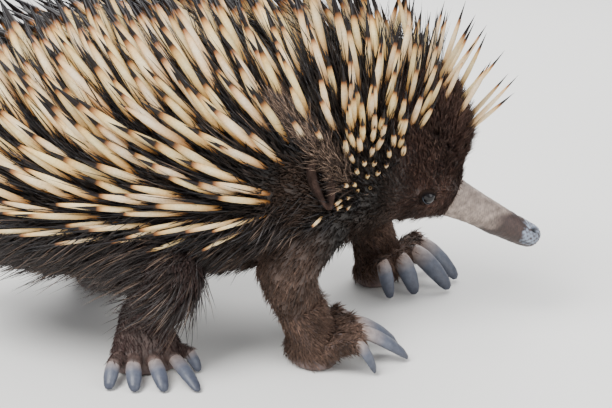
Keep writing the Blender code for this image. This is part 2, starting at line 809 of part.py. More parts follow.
def main():
    """Builds every node."""
    clear_scene()
    model, helpers = new_collection("echidna"), new_collection("cutters")
    looks = {
        "spines": material("spines", (0.55, 0.42, 0.26), 0.5),
        "fur": material("fur", (0.05, 0.03, 0.02), 0.85),
        "beak": material("beak", (0.33, 0.28, 0.25), 0.6),
        "skin": material("skin", (0.30, 0.24, 0.22), 0.7),
        "claw": material("claw", (0.24, 0.26, 0.31), 0.4),
        "eye": material("eye", (0.01, 0.01, 0.012), 0.08),
    }
    body, room = Form(BODY, SQUARENESS), Room()
    neck, crown = body.place_at(NECK_X), body.place_at(HEAD_X)
    half = GAP / 2
    stretches = (("torso", 0, neck, BODY_STEP, 0, half), ("neck", neck, crown, BODY_STEP, half, half),
                 ("head", crown, body.last, HEAD_STEP, half, 0))
    nodes = {name: loft(name, body.rings(low, high, BODY_SIDES, step, first, last), model,
                        looks["fur" if name == "head" else "spines"])
             for name, low, high, step, first, last in stretches}

    def grown(name):
        """The whole body grown by the gap, as a cutter for what meets it."""
        rows = []
        for _, low, high, step, _, _ in stretches:
            rows += body.rings(low, high, BODY_SIDES, step, grow=1.1 * GAP)[bool(rows):]
        return loft(name, rows, helpers)

    tail_form = Form(TAIL)
    nodes["tail"] = loft("tail", tail_form.rings(0, tail_form.last, 12, 6.0, end_gap=GAP), model,
                         looks["spines"])
    legs = [Leg(limb) for limb in LIMBS]
    for leg in legs:
        thing = loft(leg.limb.leg, leg.rings(), model, looks["fur"])
        combine(thing, [grown(leg.limb.leg + "_seat")], "DIFFERENCE")
        nodes[leg.limb.leg] = thing
        build_foot(leg.limb, leg, model, helpers, looks)
    for side in (-1, 1):
        build_ear(body, side, model, helpers, looks, grown)
        build_eye(body, nodes["head"], side, model, helpers, looks)
    build_beak(model, helpers, looks)

    for thing in model.objects:
        room.add_node(thing)
    coat = Coat(body, room)
    grown_on = {
        "torso": coat.spines("torso", BODY[0].x, NECK_X, SIDE_STEP),
        "neck": coat.spines("neck", NECK_X, HEAD_X, SIDE_STEP),
        "head": coat.spines("head", HEAD_X, HEM_AT[-1], HEAD_SIDE_STEP),
        "tail": coat.tail_spines(tail_form, "tail"),
    }
    for side in (-1, 1):
        grown_on["torso"] += coat.skirt("torso", side)
    for leg in legs[2:]:
        grown_on[leg.limb.leg] = leg.locks(coat, leg.limb.leg)
    for name, strands in grown_on.items():
        dress(nodes[name], strands, helpers)
    bpy.data.collections.remove(helpers)
    for thing in model.objects:
        thing.data.transform(Matrix.Translation(SHIFT))


main()
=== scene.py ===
import logging
import math
from dataclasses import dataclass, fields
from enum import Enum
from typing import Callable

import bpy
import numpy as np
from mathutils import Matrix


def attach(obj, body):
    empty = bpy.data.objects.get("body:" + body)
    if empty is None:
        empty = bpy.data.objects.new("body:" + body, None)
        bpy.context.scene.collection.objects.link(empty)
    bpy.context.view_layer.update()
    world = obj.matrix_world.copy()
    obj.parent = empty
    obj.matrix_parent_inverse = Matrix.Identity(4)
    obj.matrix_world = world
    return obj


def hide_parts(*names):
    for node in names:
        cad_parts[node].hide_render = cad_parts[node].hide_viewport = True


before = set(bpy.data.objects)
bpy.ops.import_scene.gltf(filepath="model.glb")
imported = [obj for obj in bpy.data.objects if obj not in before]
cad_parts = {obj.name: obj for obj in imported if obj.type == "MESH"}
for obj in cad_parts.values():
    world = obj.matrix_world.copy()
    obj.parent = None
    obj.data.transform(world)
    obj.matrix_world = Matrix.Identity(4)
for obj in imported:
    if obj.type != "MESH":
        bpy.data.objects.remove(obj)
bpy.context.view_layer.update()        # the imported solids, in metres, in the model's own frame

# Lengths below are millimetres from a mark on the floor under the shoulders. MARK is that
# mark's place in the model's frame, and MM turns millimetres into metres. SEED starts the
# one source of chance, no hair comes nearer to the floor than FLOOR_GAP, and LETTER names
# the animal's left side (1) and right side (-1).
MM = 0.001
MARK = np.array((55.5, 0.4, 0.0))
SEED = 41
FLOOR_GAP = 0.3
LETTER = {1: "l", -1: "r"}
Array = np.ndarray
log = logging.getLogger("echidna")


def unit(vectors: Array) -> Array:
    """The vectors at length one."""
    return vectors / np.maximum(np.linalg.norm(vectors, axis=-1, keepdims=True), 1e-9)


def dots(first: Array, second: Array) -> Array:
    """The dot products of two rows of vectors, as a column."""
    return (first * second).sum(axis=-1, keepdims=True)


def ease(values: Array, low: float, high: float) -> Array:
    """A smooth step from 0 at low to 1 at high: 3s^2 - 2s^3 of the share s between them."""
    share = np.clip((np.asarray(values) - low) / (high - low), 0, 1)
    return share * share * (3 - 2 * share)


def smooth(table: Array, places: Array) -> Array:
    """The Catmull-Rom curve through the rows of a table.

    Args:
        table: the rows that the curve passes through.
        places: places along it, counted in rows.

    Returns:
        One row for each place.
    """
    last = len(table) - 1
    row = np.clip(np.floor(places).astype(int), 0, last - 1)
    share = (np.asarray(places) - row)[:, None]
    before, start = table[np.maximum(row - 1, 0)], table[row]
    end, after = table[row + 1], table[np.minimum(row + 2, last)]
    bend = 2 * before - 5 * start + 4 * end - after
    return 0.5 * (2 * start + (end - before) * share + bend * share**2
                  + (3 * start - before - 3 * end + after) * share**3)


def waves(points: Array, size: float, seed: int, count: int = 7) -> Array:
    """A soft seeded pattern between about -1 and 1: a sum of sine waves in random directions.

    Args:
        points: places in millimetres.
        size: the usual length of a wave in millimetres.
        seed: the seed of its directions.
        count: how many waves are added.

    Returns:
        One value for each point.
    """
    draw = np.random.default_rng(seed)
    ways = unit(draw.normal(size=(count, 3))) * draw.uniform(0.6, 1.7, (count, 1))
    turns = draw.uniform(0, 2 * math.pi, count)
    return np.sin(points @ ways.T * (2 * math.pi / size) + turns).sum(axis=1) / math.sqrt(count)


def grid(first: Array, second: Array) -> tuple[Array, Array]:
    """Every pair of two rows of values, as two flat rows."""
    one, two = np.meshgrid(first, second, indexing="ij")
    return one.ravel(), two.ravel()


def full_turn(count: int) -> Array:
    """Angles in radians that share out a full circle."""
    return np.linspace(0, 2 * math.pi, count, endpoint=False)


def with_ends(rows: Array) -> Array:
    """Values for the points of a tube, the first and last once more for its end points."""
    return np.concatenate([rows, rows[:1], rows[-1:]])


def add_object(name: str, data: bpy.types.ID) -> bpy.types.Object:
    """A new object of the data, linked to the scene.

    Args:
        name: the object's name.
        data: its mesh, camera or light.

    Returns:
        The object.
    """
    made = bpy.data.objects.new(name, data)
    bpy.context.scene.collection.objects.link(made)
    return made


def paint(mesh: bpy.types.Mesh, colours: Array) -> None:
    """Smooths a mesh's faces and writes a colour for each of its points, its shade.

    Args:
        mesh: the mesh.
        colours: one linear colour for each point.
    """
    mesh.polygons.foreach_set("use_smooth", np.ones(len(mesh.polygons), bool))
    layer = mesh.attributes.new("shade", "FLOAT_COLOR", "POINT")
    rgba = np.column_stack([colours, np.ones(len(colours))])
    layer.data.foreach_set("color", rgba.astype(np.float32).ravel())


@dataclass
class Shell:
    """A mesh as whole arrays: points in millimetres from the mark, quads and triangles."""

    points: Array
    quads: Array
    tris: Array
    shades: Array | None = None
    bands: Array | None = None
    corners: Array | None = None

    def build(self, name: str) -> bpy.types.Object:
        """Puts the arrays into a Blender mesh and returns its object.

        Args:
            name: the object's name.

        Returns:
            The object, at the origin, with its place in its mesh.
        """
        mesh = bpy.data.meshes.new(name)
        loops = np.concatenate([self.quads.ravel(), self.tris.ravel()]).astype(np.int32)
        counts = np.concatenate([np.full(len(self.quads), 4), np.full(len(self.tris), 3)])
        starts = np.concatenate([[0], np.cumsum(counts)[:-1]]).astype(np.int32)
        mesh.vertices.add(len(self.points))
        mesh.vertices.foreach_set("co", ((self.points + MARK) * MM).astype(np.float32).ravel())
        mesh.loops.add(len(loops))
        mesh.loops.foreach_set("vertex_index", loops)
        mesh.polygons.add(len(counts))
        mesh.polygons.foreach_set("loop_start", starts)
        mesh.update(calc_edges=True)
        mesh.polygons.foreach_set("use_smooth", np.ones(len(counts), bool))
        if self.shades is not None:
            paint(mesh, self.shades)
        if self.bands is not None:
            band = mesh.attributes.new("band", "FLOAT", "POINT")
            band.data.foreach_set("value", self.bands.astype(np.float32))
        if self.corners is not None:
            chart = mesh.uv_layers.new(name="OFBake")
            chart.data.foreach_set("uv", self.corners.astype(np.float32).ravel())
        mesh.validate()
        return add_object(name, mesh)


def tube(rings: Array) -> Shell:
    """A closed tube through rings of points, with a fan to a middle point over each end.

    Args:
        rings: rows by sides by three, each ring turning the same way.

    Returns:
        The shell, its faces outwards where a ring turns from right to up about the run.
    """
    rows, sides = rings.shape[:2]
    points = np.concatenate([rings.reshape(-1, 3), rings[:1].mean(axis=1), rings[-1:].mean(axis=1)])
    row, side = grid(np.arange(rows - 1), np.arange(sides))
    here, there = row * sides + side, row * sides + (side + 1) % sides
    quads = np.column_stack([here, there, there + sides, here + sides])
    ring = np.arange(sides)
    after = (ring + 1) % sides
    low = np.column_stack([after, ring, np.full(sides, rows * sides)])
    top = (rows - 1) * sides
    high = np.column_stack([ring + top, after + top, np.full(sides, rows * sides + 1)])
    return Shell(points, quads, np.concatenate([low, high]))


def join(shells: list[Shell]) -> Shell:
    """The shells as one, each keeping its own faces.

    Args:
        shells: the shells.

    Returns:
        One shell.
    """
    counts = np.cumsum([0] + [len(s.points) for s in shells])
    return Shell(np.concatenate([s.points for s in shells]),
                 np.concatenate([s.quads + n for s, n in zip(shells, counts)]),
                 np.concatenate([s.tris + n for s, n in zip(shells, counts)]))


def fuse(shells: list[Shell], name: str, voxel: float, rounds: int) -> bpy.types.Object:
    """One skin over closed shells: a voxel remesh, then a smoothing, both applied.

    Args:
        shells: the shells.
        name: the name of the skin.
        voxel: the size of a voxel in millimetres.
        rounds: how often the smoothing runs.

    Returns:
        The skin's object.
    """
    raw = join(shells).build("raw")
    remesh = raw.modifiers.new("Remesh", "REMESH")
    remesh.mode, remesh.voxel_size = "VOXEL", voxel * MM
    soften = raw.modifiers.new("Smooth", "SMOOTH")
    soften.factor, soften.iterations = 0.5, rounds
    graph = bpy.context.evaluated_depsgraph_get()
    mesh = bpy.data.meshes.new_from_object(raw.evaluated_get(graph))
    mesh.name = name
    bpy.data.objects.remove(raw)
    return add_object(name, mesh)


class Form:
    """A lofted form: superellipse sections carried along a smooth row of stations.

    A point of it is the centre line's point, plus the right direction times the half width
    times sin(angle) to the power 2/n, plus the up direction times the half height times
    cos(angle) to the power 2/n. The angle runs from the back towards the animal's right.
    """

    def __init__(self, rows: list[tuple], squareness: float = 2.0) -> None:
        """Keeps the stations (x, y, z, half width, half height, lean in degrees).

        Args:
            rows: the stations, in order.
            squareness: 2 for ovals, more for squarer sections.
        """
        self.table = np.array(rows, float)
        self.table[:, 5] = np.radians(self.table[:, 5])
        self.power = 2 / squareness
        self.last = len(rows) - 1
        self.places = np.linspace(0, self.last, 400)
        line = smooth(self.table, self.places)[:, :3]
        self.line_x = line[:, 0]
        steps = np.linalg.norm(np.diff(line, axis=0), axis=1)
        self.run = np.concatenate([[0], np.cumsum(steps)])

    def frame(self, places: Array) -> tuple[Array, Array, Array, Array, Array, Array]:
        """Centres, forward, right and up directions, half widths and half heights.

        Args:
            places: places along the line.

        Returns:
            The six arrays, with a row for each place.
        """
        row = smooth(self.table, places)
        lean, none = row[:, 5], np.zeros(len(row))
        forward = np.column_stack([np.cos(lean), none, -np.sin(lean)])
        right = np.column_stack([none, none - 1, none])
        up = np.column_stack([np.sin(lean), none, np.cos(lean)])
        return row[:, :3], forward, right, up, row[:, 3:4], row[:, 4:5]

    def point(self, places: Array, angles: Array, grow: float | Array = 0.0) -> Array:
        """Points of the surface at angles from the back, moved outwards by grow.

        Args:
            places: places along the line.
            angles: degrees from the back.
            grow: how far outwards, in millimetres.

        Returns:
            One point for each place and angle.
        """
        centre, _, right, up, half_width, half_height = self.frame(places)
        side, top = np.sin(np.radians(angles))[:, None], np.cos(np.radians(angles))[:, None]
        grow = np.reshape(grow, (-1, 1))
        across = np.sign(side) * np.abs(side) ** self.power * (half_width + grow)
        above = np.sign(top) * np.abs(top) ** self.power * (half_height + grow)
        return centre + right * across + up * above

    def along(self, places: Array, angles: Array) -> Array:
        """The directions of the surface towards the front."""
        ahead = self.point(np.minimum(places + 0.03, self.last), angles)
        return unit(ahead - self.point(np.maximum(places - 0.03, 0), angles))

    def normal(self, places: Array, angles: Array) -> Array:
        """The outward directions of the surface."""
        around = self.point(places, angles + 2) - self.point(places, angles - 2)
        return unit(np.cross(around, self.along(places, angles)))

    def place_at(self, x: float | Array) -> Array:
        """Where the centre line is at x."""
        return np.interp(x, self.line_x, self.places)

    def x_at(self, places: Array) -> Array:
        """The centre line's x."""
        return np.interp(places, self.places, self.line_x)

    def stops(self, start: float, end: float, step: float) -> Array:
        """Places from start to end, about step millimetres apart along the centre line.

        Args:
            start: the first place.
            end: the last place.
            step: millimetres between sections.

        Returns:
            The places.
        """
        low, high = np.interp((start, end), self.places, self.run)
        count = max(2, round((high - low) / step) + 1)
        return np.interp(np.linspace(low, high, count), self.run, self.places)

    def rings(self, start: float, end: float, sides: int, step: float,
              grow: float = 0.0) -> Array:
        """Sections from start to end, as rows by sides by three.

        Args:
            start: the first place.
            end: the last place.
            sides: points in a section.
            step: millimetres between sections.
            grow: how far outwards, in millimetres.

        Returns:
            The points of the sections.
        """
        places = self.stops(start, end, step)
        place, angle = grid(places, np.linspace(0, 360, sides, endpoint=False))
        return self.point(place, angle, grow).reshape(len(places), sides, 3)

    def locate(self, points: Array) -> tuple[Array, Array, Array]:
        """Finds the place, angle and level of points; the level is 1 on the surface.

        Args:
            points: places in millimetres.

        Returns:
            Places, angles and levels.
        """
        stops = np.linspace(0, self.last, 160)
        centre, forward, right, up, half_width, half_height = self.frame(stops)
        ahead = points @ forward.T - (centre * forward).sum(axis=1)
        row = np.clip((ahead > 0).sum(axis=1) - 1, 0, len(stops) - 2)
        pick = np.arange(len(points))
        low, high = ahead[pick, row], ahead[pick, row + 1]
        share = np.clip(low / np.where(np.abs(low - high) < 1e-9, 1, low - high), 0, 1)
        places = stops[row] + share * (stops[1] - stops[0])
        centre, forward, right, up, half_width, half_height = self.frame(places)
        local = points - centre
        side = dots(local, right)[:, 0] / half_width[:, 0]
        top = dots(local, up)[:, 0] / half_height[:, 0]
        shape = 2 / self.power
        level = (np.abs(side) ** shape + np.abs(top) ** shape) ** (1 / shape)
        turn = np.arctan2(np.sign(side) * np.abs(side) ** (shape / 2),
                          np.sign(top) * np.abs(top) ** (shape / 2))
        beyond = np.abs(dots(local, forward)[:, 0]) / half_height[:, 0]
        return places, np.degrees(turn), np.hypot(level, beyond)


BODY = Form([
    (-194, 0, 83, 13, 14, 0), (-185, 0, 87, 37, 34, 0), (-158, 0, 95, 60, 52, 0),
    (-115, 0, 100, 75, 62, 0), (-65, 0, 103, 79, 64, 0), (-15, 0, 105, 73, 60, 2),
    (20, 0, 106, 58, 55, 7), (38, 0, 106, 47, 49, 12), (56, 0.2, 104.5, 37, 43.8, 18.6),
    (69.5, 0.4, 94, 27, 33, 24), (75.5, 0.6, 83.5, 19, 21.7, 26), (79.5, 0.8, 75.2, 12, 12.5, 27),
], squareness=2.25)
BEAK = Form([
    (79.5, 0.8, 75.2, 10.6, 11.4, 27), (90, 1.4, 69.8, 9.2, 9.7, 27),
    (106, 2.5, 61.3, 7.5, 7.9, 27), (119, 3.7, 54.3, 6.5, 6.7, 27),
    (126.5, 4.4, 50.2, 5.7, 5.7, 27), (129.3, 4.7, 48.8, 3.3, 3.3, 27),
])
TAIL = Form([
    (-217, 0, 64, 3.2, 3.2, -42), (-211, 0, 69, 7, 7, -40), (-203, 0, 76, 10, 10.5, -26),
    (-194, 0, 83, 11.5, 12.5, 0),
])


@dataclass(frozen=True)
class Digit:
    """One toe: its offset and turn across the foot, its reach, its claw and half width."""

    offset: float
    turn: float
    toe: float
    claw: float
    half_width: float


FORE_DIGITS = (Digit(19.6, 24, 18, 18, 3.8), Digit(10.6, 10, 24, 29, 4.8), Digit(0.0, 0, 25, 29, 4.9),
               Digit(-10.6, -10, 22, 22, 4.6), Digit(-19.6, -24, 16, 15, 3.7))
HIND_DIGITS = (Digit(-14.5, -26, 14, 10, 3.0), Digit(-7.6, -12, 17, 26, 3.4),
               Digit(0.0, 0, 18, 19, 3.5), Digit(7.8, 12, 17, 16, 3.5), Digit(15.0, 26, 14, 14, 3.3))


@dataclass(frozen=True)
class Limb:
    """A leg as joints and radii from inside the body to the wrist or ankle, and its foot."""

    leg: str
    foot: str
    side: int
    joints: tuple
    radii: tuple
    palm: tuple
    heading: float
    toe_height: float
    digits: tuple

    @property
    def table(self) -> Array:
        """The joints and radii as rows."""
        return np.column_stack([np.array(self.joints, float), np.array(self.radii, float)])

    def frame(self, places: Array) -> tuple[Array, Array, Array, Array, Array]:
        """Centres, directions towards the foot, outward and third directions, and radii.

        Args:
            places: places along the line.

        Returns:
            The five arrays, with a row for each place.
        """
        row = smooth(self.table, places)
        ahead = smooth(self.table, np.minimum(places + 0.02, 2))[:, :3]
        down = unit(ahead - smooth(self.table, np.maximum(places - 0.02, 0))[:, :3])
        outward = np.array((0, self.side, 0.0)) - down * down[:, 1:2] * self.side
        outward = unit(outward)
        return row[:, :3], down, outward, np.cross(down, outward), row[:, 3:4]

    def locate(self, points: Array) -> tuple[Array, Array, Array]:
        """The nearest place on the leg's line, the angle about it, and the level.

        Args:
            points: places in millimetres.

        Returns:
            Places, angles in degrees, and levels that are 1 on the surface.
        """
        stops = np.linspace(0, 2, 60)
        line = self.frame(stops)[0]
        gaps = np.linalg.norm(points[:, None, :] - line[None, :, :], axis=2)
        places = stops[gaps.argmin(axis=1)]
        centre, _, outward, third, radius = self.frame(places)
        local = points - centre
        turn = np.arctan2(dots(local, third)[:, 0], dots(local, outward)[:, 0])
        return places, np.degrees(turn), gaps.min(axis=1) / radius[:, 0]


LIMBS = [
    Limb("fore_leg_r", "fore_foot_r", -1, ((8, -30, 80), (-9, -52, 55), (-3, -50, 30)),
         (22, 18, 13), (3, -49), 20, 17, FORE_DIGITS),
    Limb("fore_leg_l", "fore_foot_l", 1, ((12, 28, 82), (21, 60, 60), (39, 67, 33)),
         (24, 19, 13.5), (44, 68), -25, 21, FORE_DIGITS),
    Limb("hind_leg_r", "hind_foot_r", -1, ((-104, -38, 80), (-74, -62, 56), (-84, -57, 27)),
         (28, 23, 13.5), (-84, -58), -70, 9, HIND_DIGITS),
    Limb("hind_leg_l", "hind_foot_l", 1, ((-112, 37, 80), (-106, 61, 56), (-120, 58, 27)),
         (28, 23, 13.5), (-120, 59), 76, 9, HIND_DIGITS),
]


class Area(Enum):
    """The parts of the skin, each with its own lie of the coat and its own chart."""

    BODY = 0
    FORE_R = 1
    FORE_L = 2
    HIND_R = 3
    HIND_L = 4
    TAIL = 5


@dataclass
class Spots:
    """Places on the skin: points, outward directions, areas, and places and angles there."""

    points: Array
    normals: Array
    area: Array
    place: Array
    angle: Array

    def __len__(self) -> int:
        """How many places there are."""
        return len(self.points)

    def only(self, chosen: Array) -> "Spots":
        """The places that a mask or a list of numbers picks."""
        return Spots(*[getattr(self, entry.name)[chosen] for entry in fields(self)])

    @staticmethod
    def joined(parts: list["Spots"]) -> "Spots":
        """The places of several sets as one set."""
        return Spots(*[np.concatenate([getattr(one, entry.name) for one in parts])
                       for entry in fields(Spots)])

    def chart(self) -> Array:
        """Each place on an unwrap of the skin: along and around the body, legs and tail.

        Returns:
            A pair of chart coordinates for each place.
        """
        span = np.where(self.area == Area.BODY.value, BODY.last,
                        np.where(self.area == Area.TAIL.value, TAIL.last, 2))
        run, around = self.place / span, (self.angle + 180) / 360
        body = np.column_stack([0.01 + 0.62 * run, 0.01 + 0.98 * around])
        strip = (self.area - 1).clip(0)
        other = np.column_stack([0.66 + 0.33 * run, 0.01 + 0.195 * strip + 0.18 * around])
        return np.where((self.area == Area.BODY.value)[:, None], body, other)


HEM_AT, HEM_ANGLES = (-194, -160, 20, 38, 50, 56, 62, 72), (96, 110, 112, 100, 80, 58, 42, 26)
SWEEP_AT, SWEEP_ANGLES = (0, 28, 60, 90, 112), (0, 46, 36, 18, -14)
FRONT_AT, FRONT_TURN = (-194, -100, -60, 0, 30, 60), (26, 20, 12, 20, 34, 52)
RISE_AT, RISE_ON_BACK = (-194, -150, -20, 20, 50, 62, 72), (50, 36, 36, 46, 44, 30, 20)
RISE_ON_FLANK = (32, 18, 20, 40, 48, 36, 20)
LENGTH_AT = (-194, -150, -30, 10, 30, 70)
LENGTH_ON_BACK, LENGTH_ON_FLANK = (44, 58, 60, 56, 52, 46), (42, 56, 50, 28, 18, 15)


def between(x: Array, angle: Array, table_x: tuple, on_back: tuple, on_flank: tuple) -> Array:
    """A size read along the body, shared between the back and the flank by the angle."""
    share = np.interp(np.abs(angle), (25, 90), (0, 1))
    return np.interp(x, table_x, on_back) * (1 - share) + np.interp(x, table_x, on_flank) * share


def body_lie(place: Array, angle: Array) -> Array:
    """The lie of the coat on the body: backwards, and up towards the ridge of the back.

    Args:
        place: places along the body.
        angle: angles from the back.

    Returns:
        Directions along the surface.
    """
    normal, along = BODY.normal(place, angle), BODY.along(place, angle)
    to_back = np.cross(normal, along) * np.sign(angle + 1e-6)[:, None]
    turn = np.interp(np.abs(angle), SWEEP_AT, SWEEP_ANGLES)
    more = np.interp(BODY.x_at(place), FRONT_AT, FRONT_TURN) * np.clip(np.abs(angle) / 20, 0, 1)
    more = more * (1 - 0.6 * ease(np.abs(angle), 82, 104) * (BODY.x_at(place) < 0))
    turn = np.radians(turn + more)[:, None]
    return unit(to_back * np.sin(turn) - along * np.cos(turn))


def markings(spots: Spots) -> Array:
    """The colour of the coat over the animal, which the skin and every tuft read.

    The spined back is near black, the face a dark brown that pales round the eye, the
    fore legs grey-brown, the hind legs a purple brown, and the belly a dull brown.

    Args:
        spots: places on the skin.

    Returns:
        One linear colour for each place.
    """
    back, face = np.array((0.012, 0.008, 0.006)), np.array((0.030, 0.0155, 0.0115))
    belly, fore = np.array((0.045, 0.029, 0.022)), np.array((0.085, 0.052, 0.038))
    hind = np.array((0.048, 0.029, 0.026))
    x = spots.points[:, 0]
    low = ease(np.abs(spots.angle), 112, 145)[:, None]
    front = ease(x, 35, 58)[:, None]
    colour = back + (belly - back) * low
    colour = colour + (face - colour) * front
    colour = colour + (np.array((0.05, 0.03, 0.021)) - colour) * hollow(spots.points)[:, None] * 0.9
    eye_gap = np.hypot(x - 68, spots.points[:, 2] - 84)[:, None]
    colour = colour * (1 + 0.9 * (1 - ease(eye_gap, 4, 13)) * (spots.area == Area.BODY.value)[:, None])
    on_fore = np.isin(spots.area, (Area.FORE_R.value, Area.FORE_L.value))[:, None]
    on_hind = np.isin(spots.area, (Area.HIND_R.value, Area.HIND_L.value))[:, None]
    down = ease(spots.place, 0.3, 1.4)[:, None]
    colour = np.where(on_fore, back + (fore - back) * down, colour)
    colour = np.where(on_hind, back + (hind - back) * down, colour)
    patch = 1 + 0.25 * waves(spots.points, 22, 5)[:, None]
    return colour * patch.clip(0.5, 1.6)


def scatter(points: Array, faces: Array, count: int,
            draw: np.random.Generator) -> tuple[Array, Array]:
    """Random places on a mesh of triangles, spread evenly by area.

    Args:
        points: the mesh's points.
        faces: its triangles.
        count: how many places.
        draw: the seeded source of chance.

    Returns:
        The places and the outward directions there.
    """
    corners = points[faces]
    square = np.cross(corners[:, 1] - corners[:, 0], corners[:, 2] - corners[:, 0])
    size = np.linalg.norm(square, axis=1)
    face = draw.choice(len(size), count, p=size / size.sum())
    a, b = draw.random((2, count, 1))
    over = (a + b) > 1
    a, b = np.where(over, 1 - a, a), np.where(over, 1 - b, b)
    tri = corners[face]
    return (tri[:, 0] + a * (tri[:, 1] - tri[:, 0]) + b * (tri[:, 2] - tri[:, 0]),
            unit(square[face]))


def mesh_arrays(mesh: bpy.types.Mesh) -> tuple[Array, Array]:
    """A mesh's points in millimetres from the mark, and its triangles.

    Args:
        mesh: the mesh.

    Returns:
        The points and the triangles.
    """
    mesh.calc_loop_triangles()
    points = np.empty(len(mesh.vertices) * 3)
    mesh.vertices.foreach_get("co", points)
    faces = np.empty(len(mesh.loop_triangles) * 3, np.int32)
    mesh.loop_triangles.foreach_get("vertices", faces)
    return points.reshape(-1, 3) / MM - MARK, faces.reshape(-1, 3)


@dataclass
class Skin:
    """The bare skin under the coat, one closed mesh from the tail to the base of the beak.

    It lies inset millimetres under the forms. A point goes to the body rather than to a leg
    when its level, times body_share, is the lower one.
    """

    inset: float = 2.0
    voxel: float = 1.7
    rounds: int = 5
    body_share: float = 0.94

    def __post_init__(self) -> None:
        """Builds the forms, fuses them to one skin, and finds where each point of it is."""
        shells = [tube(BODY.rings(0, BODY.last, 120, 2.4, -self.inset))]
        shells.append(tube(TAIL.rings(0, TAIL.last, 40, 1.6, -0.8)))
        shells += [self.leg(limb) for limb in LIMBS]
        self.object = fuse(shells, "skin", self.voxel, self.rounds)
        self.read()
        self.carve()

    def leg(self, limb: Limb) -> Shell:
        """A leg: circles of the limb's radius, less the inset, along its smooth line.

        Args:
            limb: the leg.

        Returns:
            Its shell.
        """
        places = np.linspace(0, 2, 40)
        centre, down, outward, third, radius = limb.frame(places)
        turn = full_turn(48)[None, :, None]
        reach = np.cos(turn) * outward[:, None] + np.sin(turn) * third[:, None]
        return tube(centre[:, None] + reach * (radius[:, None] - self.inset))

    def read(self) -> None:
        """Reads the mesh into arrays, and finds the area, place and angle of each point."""
        self.points, self.faces = mesh_arrays(self.object.data)
        self.spots = self.find(self.points, self.outward())

    def outward(self) -> Array:
        """The outward direction at each point: the sum of its faces' cross products.

        Returns:
            One direction for each point.
        """
        corners = self.points[self.faces]
        square = np.cross(corners[:, 1] - corners[:, 0], corners[:, 2] - corners[:, 0])
        total = np.zeros_like(self.points)
        for corner in range(3):
            for axis in range(3):
                total[:, axis] += np.bincount(self.faces[:, corner], square[:, axis],
                                              minlength=len(self.points))
        return unit(total)

    @staticmethod
    def find(points: Array, normals: Array) -> Spots:
        """The area of each point is the form whose surface it is nearest to, by level.

        Args:
            points: places in millimetres.
            normals: the outward directions there.

        Returns:
            The points as spots.
        """
        found = [BODY.locate(points)] + [limb.locate(points) for limb in LIMBS]
        found.append(TAIL.locate(points))
        levels = np.stack([level for _, _, level in found])
        levels[Area.BODY.value] *= Skin.body_share
        area = levels.argmin(axis=0)
        pick = np.arange(len(points))
        place = np.stack([one[0] for one in found])[area, pick]
        angle = np.stack([one[1] for one in found])[area, pick]
        return Spots(points, normals, area, place, angle)

    def carve(self) -> None:
        """Moves points outwards or inwards for the folds of the head, and shades them."""
        mesh = self.object.data
        ripple = 0.35 * waves(self.points, 9, 11) + 0.2 * waves(self.points, 4.5, 12)
        ripple += 3.0 * ease(self.points[:, 0], 62, 74) * ease(self.points[:, 2], 92, 112)
        flank = (np.abs(self.points[:, 1]) > 30) * (self.spots.area == Area.BODY.value)
        ripple -= 6.0 * hollow(self.points) * flank
        self.points = self.points + self.spots.normals * ripple[:, None]
        mesh.vertices.foreach_set("co", ((self.points + MARK) * MM).ravel())
        paint(mesh, markings(self.spots))
        mesh.update()

    def roots(self, count: int, draw: np.random.Generator,
              want: Callable[[Spots], Array]) -> Spots:
        """Random places on the skin, spread by area and by how much a place wants them.

        Args:
            count: how many places to draw before wants are weighed in.
            draw: the seeded source of chance.
            want: a function from spots to shares between 0 and 1.

        Returns:
            The places kept.
        """
        spots = self.find(*scatter(self.points, self.faces, count, draw))
        return spots.only(draw.random(count) < want(spots))


@dataclass(frozen=True)
class Cut:
    """The build of one kind of strand.

    It has the depth of its root under the skin in millimetres, its depth as a share of its
    width, the sides of a ring, and the stops along it with the share of the width at each.
    """

    sunk: float
    flat: float
    sides: int
    stops: tuple
    taper: tuple


SPINE_STOPS = (0, 0.12, 0.3, 0.5, 0.66, 0.78, 0.89, 1.0)
SPINE_TAPER = (0.6, 0.86, 1.0, 0.96, 0.76, 0.5, 0.24, 0.0)
SPINE_CUT = Cut(4.0, 0.9, 6, SPINE_STOPS, SPINE_TAPER)
TAIL_SPINE_CUT = Cut(3.0, 0.9, 6, SPINE_STOPS, SPINE_TAPER)
BRISTLE_CUT = Cut(0.9, 0.7, 3, (0, 0.35, 0.7, 1.0), (1.0, 0.95, 0.6, 0.0))
SKIRT_CUT = Cut(0.9, 0.7, 3, (0, 0.35, 0.7, 1.0), (1.0, 0.9, 0.6, 0.0))
TUFT_CUT = Cut(0.9, 0.55, 3, (0, 0.5, 1.0), (1.0, 0.72, 0.0))
SHORT_HAIR_CUT = Cut(0.8, 0.6, 3, (0, 0.5, 1.0), (1, 0.75, 0))


